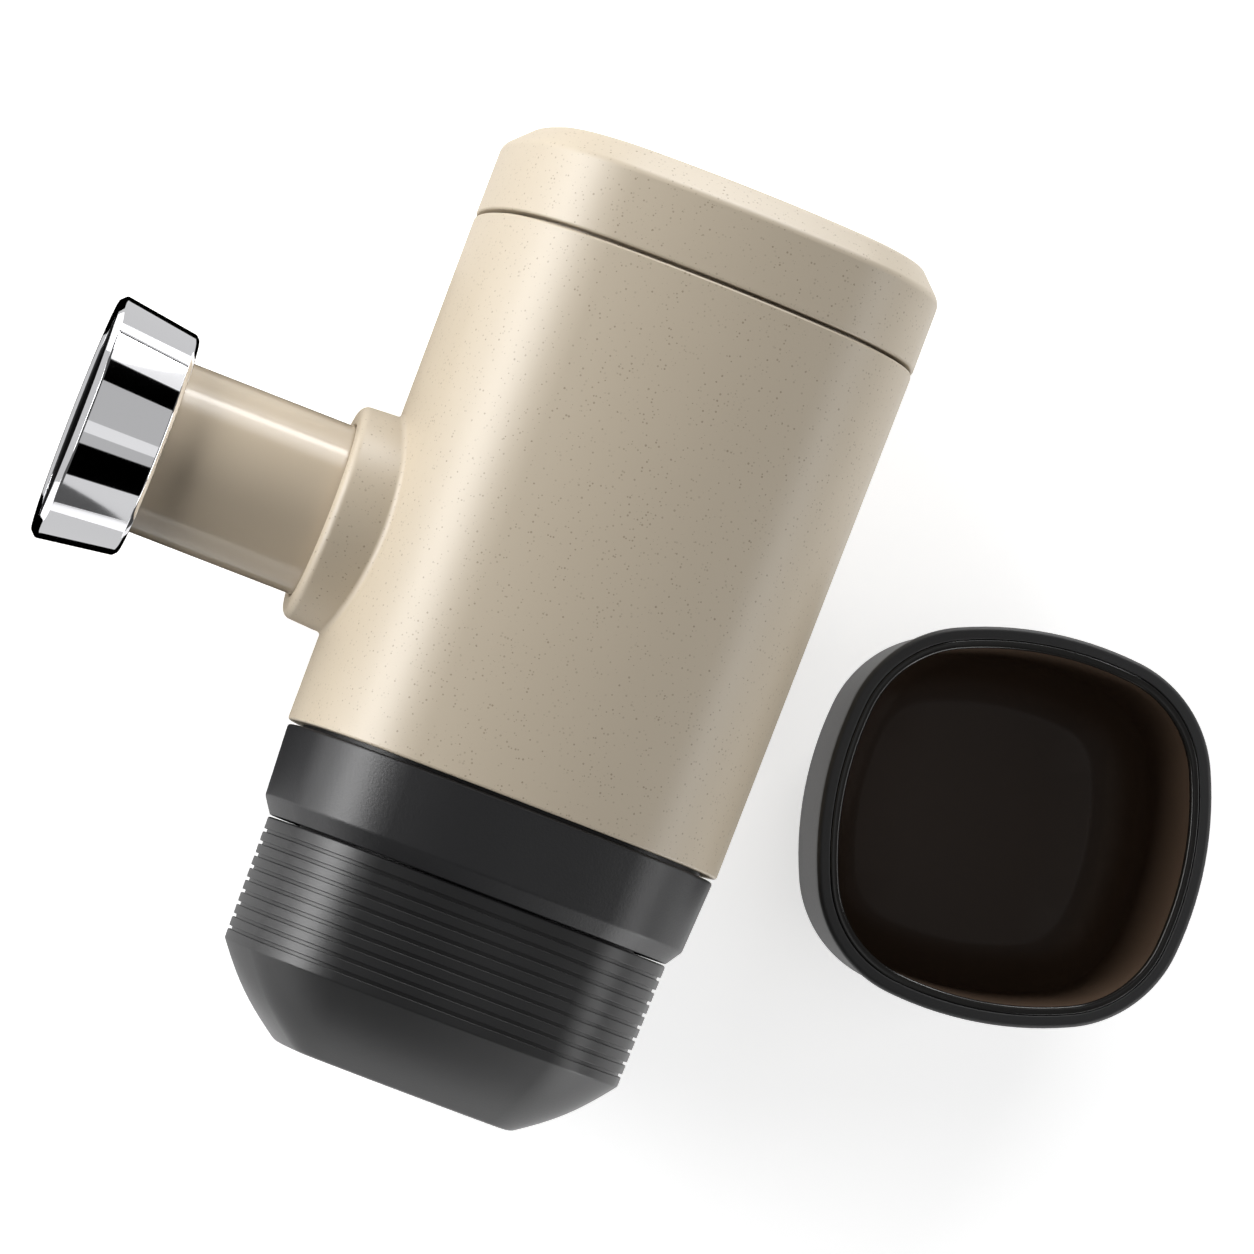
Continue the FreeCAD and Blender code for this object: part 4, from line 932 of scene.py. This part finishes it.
@dataclass
class BandPart:
    """The black band between the tank and the body."""

    bottom: float = 30.1
    top: float = 43.3
    half_low: float = 30.2
    half_mid: float = 31.8
    half_high: float = 32.4
    chamfer: float = 2.4
    wall: float = 2.0
    web: float = 2.1
    ring_bore: float = 26.7
    ring_wall: float = 2.2
    web_bore: float = 24.2
    spigot_outer: float = 30.25
    spigot_wall: float = 1.8
    spigot_height: float = 4.6
    top_round: float = 0.4
    side_round: float = 1.0
    bottom_round: float = 0.25
    ring_round: float = 0.3
    ring_sunk: float = 0.2
    bore_past: float = 2.0

    def make(self, shop: Workshop) -> None:
        """Draws the band with its spigot and the ring that the tank screws into.

        Args:
            shop: The workshop.
        """
        web_bottom = self.top - self.web
        spigot_inner = self.spigot_outer - self.spigot_wall
        core = MAKER_SQUARE.core
        band = Drawing("band").chain([
            (core, self.top), (spigot_inner, self.top), (spigot_inner, self.top + self.spigot_height),
            (self.spigot_outer, self.top + self.spigot_height, self.ring_round), (self.spigot_outer, self.top),
            (self.half_high, self.top, self.top_round),
            (self.half_mid, self.bottom + self.chamfer, self.side_round),
            (self.half_low, self.bottom, self.bottom_round), (self.half_low - self.wall, self.bottom),
            (self.half_mid - self.wall, self.bottom + self.chamfer), (self.half_high - self.wall, web_bottom),
            (core, web_bottom)]).carried(MAKER_SQUARE).done()
        low, high = web_bottom - self.bore_past, self.top + self.bore_past
        cut_away(band, drum("band_bore", self.web_bore, low, high).done())
        outer = self.ring_bore + self.ring_wall
        ring = Drawing("ring").chain([
            (self.ring_bore, self.bottom + self.chamfer, self.ring_round), (outer, self.bottom + self.chamfer),
            (outer, web_bottom + self.ring_sunk), (self.ring_bore, web_bottom + self.ring_sunk)],
            closed=True).turned().done()
        join_into(band, [ring])
        shop.dress(shop.place(band, Side.MAKER), BAND_BLACK, "body", "base_collar")


@dataclass
class PistonPart:
    """The taupe sleeve of the piston with its stop flange."""

    start: float = -64.3
    stop: float = -21.7
    end: float = -19.9
    radius: float = 12.9
    bore: float = 11.1
    stop_radius: float = 14.2
    edge: float = 0.3
    steps: int = 160

    def make(self, shop: Workshop) -> None:
        """Draws the sleeve.

        Args:
            shop: The workshop.
        """
        sleeve = Drawing("sleeve", Side.PUMP).chain([
            (self.bore, self.start), (self.radius, self.start, self.edge), (self.radius, self.stop),
            (self.stop_radius, self.stop, self.edge), (self.stop_radius, self.end), (self.bore, self.end)],
            closed=True).turned(self.steps)
        shop.dress(shop.place(sleeve), TAUPE, "piston", "piston_sleeve")


@dataclass
class SpringPart:
    """The return spring, which the piston presses together on its way in."""

    wire: float = 1.1
    turns: int = 11
    stroke: float = 0.022
    wire_sides: int = 10
    turn_steps: int = 48

    def make(self, shop: Workshop) -> None:
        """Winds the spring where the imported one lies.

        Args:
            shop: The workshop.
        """
        low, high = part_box("return_spring")
        pump = shop.layout.places[Side.PUMP].inverted()
        ends = sorted(((pump @ low).z / MM, (pump @ high).z / MM))
        radius = (high.y - low.y) / (2 * MM) - self.wire / 2
        start = ends[0] + self.wire / 2
        length = ends[1] - ends[0] - self.wire
        step = 2 * math.pi / self.wire_sides
        half = self.wire / 2
        circle = [(radius + half * math.cos(step * side), start + half * math.sin(step * side))
                  for side in range(self.wire_sides)]
        spring = Drawing("spring_coil", Side.PUMP).chain(circle, closed=True).done()
        apply_modifier(spring, "SCREW", angle=2 * math.pi, iterations=self.turns,
                       screw_offset=length / self.turns * MM, steps=self.turn_steps,
                       render_steps=self.turn_steps, use_merge_vertices=False)
        close_ends(spring)
        shop.dress(shop.place(spring, Side.PUMP), STEEL, "body", "return_spring")
        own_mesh(spring)


@dataclass
class KnobPart:
    """The bright knob with its dark turned end."""

    back: float = -64.3
    length: float = 12.6
    mouth: float = 13.2
    radius_inner: float = 16.9
    radius_outer: float = 18.5
    back_wall: float = 2.0
    bevel: float = 0.6
    rim_bevel: float = 0.9
    rim: float = 1.0
    rim_chamfer: float = 0.45
    core_end: float = 8.6
    insert_thick: float = 1.8
    lip_below: float = 0.6
    lip_wall: float = 0.7
    ring_step: float = 3.8
    ring_width: float = 0.7
    ring_depth: float = 0.5
    rings: int = 3
    mouth_round: float = 0.2
    back_round: float = 0.35
    side_round: float = 0.5
    front_round: float = 0.45
    rim_round: float = 0.4
    chamfer_round: float = 0.2
    gap: float = 0.05
    lip_round: float = 0.25
    floor_round: float = 0.5
    ring_top_round: float = 0.12
    ring_floor_round: float = 0.1
    ring_steps: int = 192
    plate_steps: int = 128

    def make(self, shop: Workshop) -> None:
        """Draws the ring and the end plate.

        Args:
            shop: The workshop.
        """
        end = self.back - self.length
        lip = self.radius_outer - self.rim_bevel
        inner = lip - self.rim - self.rim_chamfer
        ring = Drawing("knob_rim", Side.PUMP).chain([
            (self.mouth, self.back, self.mouth_round),
            (self.radius_inner - self.bevel, self.back, self.back_round),
            (self.radius_inner, self.back - self.bevel, self.side_round),
            (self.radius_outer, end + self.rim_bevel, self.front_round), (lip, end, self.rim_round),
            (lip - self.rim, end, self.chamfer_round), (inner, end + self.rim_chamfer, self.chamfer_round),
            (inner, self.back - self.back_wall), (self.mouth, self.back - self.back_wall)],
            closed=True).turned(self.ring_steps)
        shop.dress(shop.place(ring), CHROME, "knob", "knob_ring")
        seat = self.back - self.core_end - self.gap
        face = seat - self.insert_thick
        radius = inner - self.gap
        top = end + self.lip_below
        floor_radius = radius - self.lip_wall
        spots: list[Spot] = [(0, seat), (radius, seat), (radius, top, self.lip_round),
                             (floor_radius, top, self.lip_round), (floor_radius, face, self.floor_round)]
        for index in range(self.rings):
            outer = floor_radius - (index + 0.5) * self.ring_step
            floor = face + self.ring_depth
            spots += [(outer, face, self.ring_top_round), (outer, floor, self.ring_floor_round),
                      (outer - self.ring_width, floor, self.ring_floor_round),
                      (outer - self.ring_width, face, self.ring_top_round)]
        plate = Drawing("knob_end", Side.PUMP).chain([*spots, (0, face)]).turned(self.plate_steps)
        shop.dress(shop.place(plate), KNOB_END, "knob", "knob_insert")


@dataclass
class CupPart:
    """The cup: a black outer wall, a brown grey liner with a glossy edge, and a foot ring. The liner's brown is
    partly its own dark colour and partly a painted reflection of coffee.
    """

    height: float = 36.0
    rim_half: float = 28.8
    lip_height: float = 1.8
    lip_step: float = 0.45
    waist_height: float = 14.0
    waist_half: float = 27.5
    base_half: float = 20.0
    bulge: float = 2.3
    shell_wall: float = 1.4
    liner_wall: float = 1.2
    foot_height: float = 0.8
    foot_width: float = 2.4
    foot_inset: float = 1.2
    edge_height: float = 1.5
    edge_proud: float = 0.1
    gap: float = 0.05
    edge_gap: float = 0.02
    step_round: float = 0.3
    lip_round: float = 0.25
    rim_round: float = 0.7
    inner_round: float = 0.2
    edge_foot_round: float = 0.1
    edge_back_round: float = 0.3
    edge_front_round: float = 0.5
    foot_round: float = 0.3

    def side(self, inset: float, steps: int = 14) -> list[Spot]:
        """The curve from the base to the waist, moved in.

        Args:
            inset: How far it is moved in.
            steps: The number of steps.

        Returns:
            The spots from the base to the waist.
        """
        base = Vector((self.base_half - inset, self.foot_height + inset))
        waist = Vector((self.waist_half - inset, self.waist_height))
        run = waist - base
        half = run.length / 2
        radius = (half * half + self.bulge * self.bulge) / (2 * self.bulge)
        outward = Vector((run.y, -run.x)).normalized()
        centre = (base + waist) / 2 - outward * (radius - self.bulge)
        start = math.atan2(base.y - centre.y, base.x - centre.x)
        sweep = 2 * math.asin(half / radius)
        return [(centre.x + radius * math.cos(start + sweep * step / steps),
                 centre.y + radius * math.sin(start + sweep * step / steps)) for step in range(steps + 1)]

    def wall_half(self, height: float) -> float:
        """Half the outer width of the upper wall at a height."""
        share = (height - self.waist_height) / (self.height - self.waist_height)
        return self.waist_half + (self.rim_half - self.lip_step - self.waist_half) * share

    def make(self, shop: Workshop) -> None:
        """Draws the shell, the liner, its glossy edge and the foot.

        Args:
            shop: The workshop.
        """
        core = CUP_SQUARE.core
        lip = self.height - self.lip_height
        inner_top = self.wall_half(self.height) - self.shell_wall
        outside = self.side(0)
        inside = self.side(self.shell_wall)
        shell = Drawing("cup_wall", Side.CUP).chain([
            (core, outside[0][1]), *outside, (self.wall_half(lip), lip - self.lip_step, self.step_round),
            (self.rim_half, lip, self.lip_round), (self.rim_half, self.height, self.rim_round),
            (inner_top, self.height, self.inner_round), *reversed(inside),
            (core, inside[0][1])]).carried(CUP_SQUARE)
        shop.dress(shop.place(shell), CUP_BLACK, "cup", "cup_shell")
        offset = self.shell_wall + self.gap
        back = self.side(offset)
        front = self.side(offset + self.liner_wall)
        top = self.wall_half(self.height) - offset
        edge = self.height - self.edge_height
        liner = Drawing("cup_lining", Side.CUP).chain([
            (core, back[0][1]), *back, (top, edge - self.edge_gap),
            (top - self.liner_wall, edge - self.edge_gap),
            *reversed(front), (core, front[0][1])]).carried(CUP_SQUARE)
        shop.dress(shop.place(liner), CUP_INNER_COFFEE_REFLECTION, "cup", "cup_liner")
        rim = Drawing("cup_edge", Side.CUP).chain([
            (top - self.liner_wall, edge, self.edge_foot_round), (top, edge),
            (top, self.height, self.edge_back_round),
            (top - self.liner_wall - self.edge_proud, self.height, self.edge_front_round)],
            closed=True).carried(CUP_SQUARE)
        shop.dress(shop.place(rim), CUP_EDGE, "cup", "cup_liner")
        outer = self.base_half - self.foot_inset
        foot = Drawing("cup_ring", Side.CUP).chain([
            (outer - self.foot_width, 0, self.inner_round), (outer, 0, self.foot_round),
            (outer, self.foot_height), (outer - self.foot_width, self.foot_height)],
            closed=True).carried(CUP_SQUARE, INNER_STEPS)
        shop.dress(shop.place(foot), RUBBER, "cup", "cup_foot")


@dataclass(frozen=True)
class Lamp:
    """A soft lamp: its place from the middle, its width and height in metres, and its power in watts."""

    name: str
    offset: Spot
    size: tuple[float, float]
    watts: float


@dataclass(frozen=True)
class KnobCard:
    """A card that only mirrors see, on a circle round the knob's axis.

    Its angle is in degrees from upright, positive to the cap's side, and so is half its height. It starts and
    ends along X in metres. It is white where it glows and black where it doesn't.
    """

    name: str
    angle: float
    half: float
    glow: float
    along: tuple[float, float] = (0.055, 0.135)
    reach: float = 0.5


LAMPS = (
    Lamp("key", (-0.77, 0.05, 0.28), (0.9, 0.44), 9.2),
    Lamp("strip", (0.80, 0.0, 0.42), (0.9, 0.16), 2.3),
    Lamp("fill_cap_side", (0.05, 0.8, 0.18), (0.5, 0.3), 4.6),
    Lamp("fill_tank_side", (0.65, -0.55, 0.14), (0.5, 0.3), 2.4),
)
KNOB_CARDS = (
    KnobCard("card_white_cap_side", 78, 21, 0.95),
    KnobCard("card_black_cap_side", 45.5, 10.5, 0.0),
    KnobCard("card_grey_middle", 5, 30, 0.5),
    KnobCard("card_black_tank_side", -41, 15.5, 0.0),
    KnobCard("card_white_tank_side", -76, 19, 0.72),
    KnobCard("card_bright_streak", -9, 5.5, 0.85, reach=0.47),
    KnobCard("card_sleeve", 68, 10, 1.7, along=(-0.06, 0.05), reach=0.47),
)


@dataclass
class Studio:
    """The table top, the lamps and the camera."""

    aim: Spot = (-0.0040, 0.0057, 0.03335)
    distance: float = 0.95
    turned: float = math.radians(7.5)
    tilted: float = math.radians(3.1)
    roll: float = math.radians(21)
    lens_share: float = 0.19866
    sensor: float = 36.0
    clip: tuple[float, float] = (0.05, 20.0)
    middle: Spot = (-0.012, 0.0, 0.033)
    knob: Spot = (-0.080, 0.0055, 0.033)
    room: float = 0.1
    floor_size: float = 6.0
    floor_grey: float = 0.9
    floor_roughness: float = 0.9
    floor_lift: float = 0.6

    def camera(self) -> None:
        """Puts the camera over the table, turned a little to the piston's side."""
        away = Vector((-math.tan(self.turned), -math.tan(self.tilted), 1)).normalized() * self.distance
        data = bpy.data.cameras.new("camera")
        data.sensor_width = self.sensor
        data.lens = self.lens_share * self.distance * 1000
        data.clip_start, data.clip_end = self.clip
        camera = bpy.data.objects.new("camera", data)
        bpy.context.scene.collection.objects.link(camera)
        back = away.normalized()
        up = Vector((-math.sin(self.roll), math.cos(self.roll), 0))
        right = up.cross(back).normalized()
        up = back.cross(right)
        turn = Matrix((right, up, back)).transposed().to_4x4()
        camera.matrix_world = Matrix.Translation(Vector(self.aim) + away) @ turn
        bpy.context.scene.camera = camera

    def floor(self) -> None:
        """Adds the pale table top, which shows white and keeps the shadows."""
        deselect_everything()
        bpy.ops.mesh.primitive_plane_add(size=self.floor_size)
        floor = bpy.context.object
        floor.name = "table_top"
        material = bpy.data.materials.new("table_top")
        material.use_nodes = True
        tree = material.node_tree
        shader = tree.nodes["Principled BSDF"]
        shader.inputs["Base Color"].default_value = (self.floor_grey, self.floor_grey, self.floor_grey, 1)
        shader.inputs["Roughness"].default_value = self.floor_roughness
        shader.inputs["Specular IOR Level"].default_value = 0.0
        shader.inputs["Emission Color"].default_value = (1, 1, 1, 1)
        tree.links.new(self.seen_share(tree, self.floor_lift), shader.inputs["Emission Strength"])
        floor.data.materials.append(material)

    def seen_share(self, tree: bpy.types.NodeTree, strength: float, base: float = 0.0) -> bpy.types.NodeSocket:
        """A strength that holds for what the camera and bright metal see, over a base for all else.

        Args:
            tree: The node tree.
            strength: What is added for camera, mirror and glass rays.
            base: What all rays get.

        Returns:
            The strength's socket.
        """
        path = tree.nodes.new("ShaderNodeLightPath")
        total = path.outputs["Is Camera Ray"]
        for ray in ("Is Glossy Ray", "Is Transmission Ray"):
            either = tree.nodes.new("ShaderNodeMath")
            either.operation = "MAXIMUM"
            tree.links.new(total, either.inputs[0])
            tree.links.new(path.outputs[ray], either.inputs[1])
            total = either.outputs[0]
        scaled = tree.nodes.new("ShaderNodeMath")
        scaled.operation = "MULTIPLY_ADD"
        scaled.inputs[1].default_value = strength
        scaled.inputs[2].default_value = base
        tree.links.new(total, scaled.inputs[0])
        return scaled.outputs[0]

    def world(self) -> None:
        """Gives the room a plain pale light."""
        world = bpy.data.worlds.new("room")
        bpy.context.scene.world = world
        world.use_nodes = True
        background = world.node_tree.nodes["Background"]
        background.inputs["Color"].default_value = (1, 1, 1, 1)
        background.inputs["Strength"].default_value = self.room

    def lamp(self, plan: Lamp) -> None:
        """Adds one soft lamp that points at the middle.

        Args:
            plan: The lamp.
        """
        data = bpy.data.lights.new(plan.name, "AREA")
        data.shape = "RECTANGLE"
        data.size, data.size_y = plan.size
        data.energy = plan.watts
        lamp = bpy.data.objects.new(plan.name, data)
        bpy.context.scene.collection.objects.link(lamp)
        place = Vector(self.middle) + Vector(plan.offset)
        facing = (place - Vector(self.middle)).to_track_quat("Z", "Y").to_matrix().to_4x4()
        lamp.matrix_world = Matrix.Translation(place) @ facing

    def card(self, name: str, centre: Vector, turn: Spot, size: tuple[float, float], glow: float) -> None:
        """Hangs a card that only mirrors see, white where it glows and black where it doesn't.

        Args:
            name: Its name.
            centre: Its middle.
            turn: How far it is turned about X, Y and Z to face the knob.
            size: Its width and its height, in metres.
            glow: Its strength.
        """
        deselect_everything()
        bpy.ops.mesh.primitive_plane_add(size=1, location=centre)
        card = bpy.context.object
        card.name = name
        card.scale = (*size, 1)
        card.rotation_euler = turn
        material = bpy.data.materials.new(name)
        material.use_nodes = True
        shader = material.node_tree.nodes["Principled BSDF"]
        shader.inputs["Base Color"].default_value = (0, 0, 0, 1)
        shader.inputs["Specular IOR Level"].default_value = 0.0
        shader.inputs["Emission Color"].default_value = (1, 1, 1, 1)
        shader.inputs["Emission Strength"].default_value = glow
        card.data.materials.append(material)
        card.visible_camera = False
        card.visible_diffuse = False
        card.visible_shadow = False
        card.visible_transmission = False

    def card_round_knob(self, plan: KnobCard) -> None:
        """Hangs a card on a circle round the knob's axis.

        Args:
            plan: The card.
        """
        turn = math.radians(plan.angle)
        centre = Vector((sum(plan.along) / 2, self.knob[1] + plan.reach * math.sin(turn),
                         self.knob[2] + plan.reach * math.cos(turn)))
        height = 2 * plan.reach * math.tan(math.radians(plan.half))
        self.card(plan.name, centre, (-turn, 0, 0), (plan.along[1] - plan.along[0], height), plan.glow)

    def cards(self) -> None:
        """Hangs the cards round the knob, two on the table under it and one past its end."""
        for plan in KNOB_CARDS:
            self.card_round_knob(plan)
        flat, upright = (0, 0, 0), (0, math.radians(90), 0)
        x, y, _ = self.knob
        self.card("card_pale_under_knob", Vector((x, y, 0.0003)), flat, (0.075, 0.5), 0.66)
        # The black card on the table is painted shade: it stands for the table's shadow under the knob as the
        # chrome mirrors it.
        self.card("card_painted_shade_under_knob", Vector((x, y, 0.0005)), flat, (0.075, 0.084), 0.0)
        self.card("card_grey_past_knob", Vector((-0.116, y, 0.034)), upright, (0.068, 0.052), 0.62)

    def make(self) -> None:
        """Sets up the whole studio."""
        bpy.context.scene.view_settings.view_transform = "Standard"
        self.camera()
        self.floor()
        self.world()
        for plan in LAMPS:
            self.lamp(plan)
        self.cards()


def finish_packed_nodes(frame: dict) -> None:
    """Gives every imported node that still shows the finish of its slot.

    Args:
        frame: The loaded frame.
    """
    slots = {part["node"]: part["material_slot"] for part in frame["record"]["subparts"]}
    for name, node in frame["nodes"].items():
        material = FINISHES[slots[name]].build()
        node.data.materials.clear()
        node.data.materials.append(material)


def main() -> None:
    """Loads the frame, makes each part in turn and sets up the studio."""
    logging.basicConfig(level=logging.INFO, format="%(message)s")
    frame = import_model()
    finish_packed_nodes(frame)
    layout = Layout()
    layout.measure()
    shop = Workshop(layout)
    for part in (BodyPart(), CapPart(), TankPart(), BandPart(), PistonPart(), SpringPart(), KnobPart(),
                 CupPart()):
        part.make(shop)
    Studio().make()


if __name__ == "__main__":
    main()
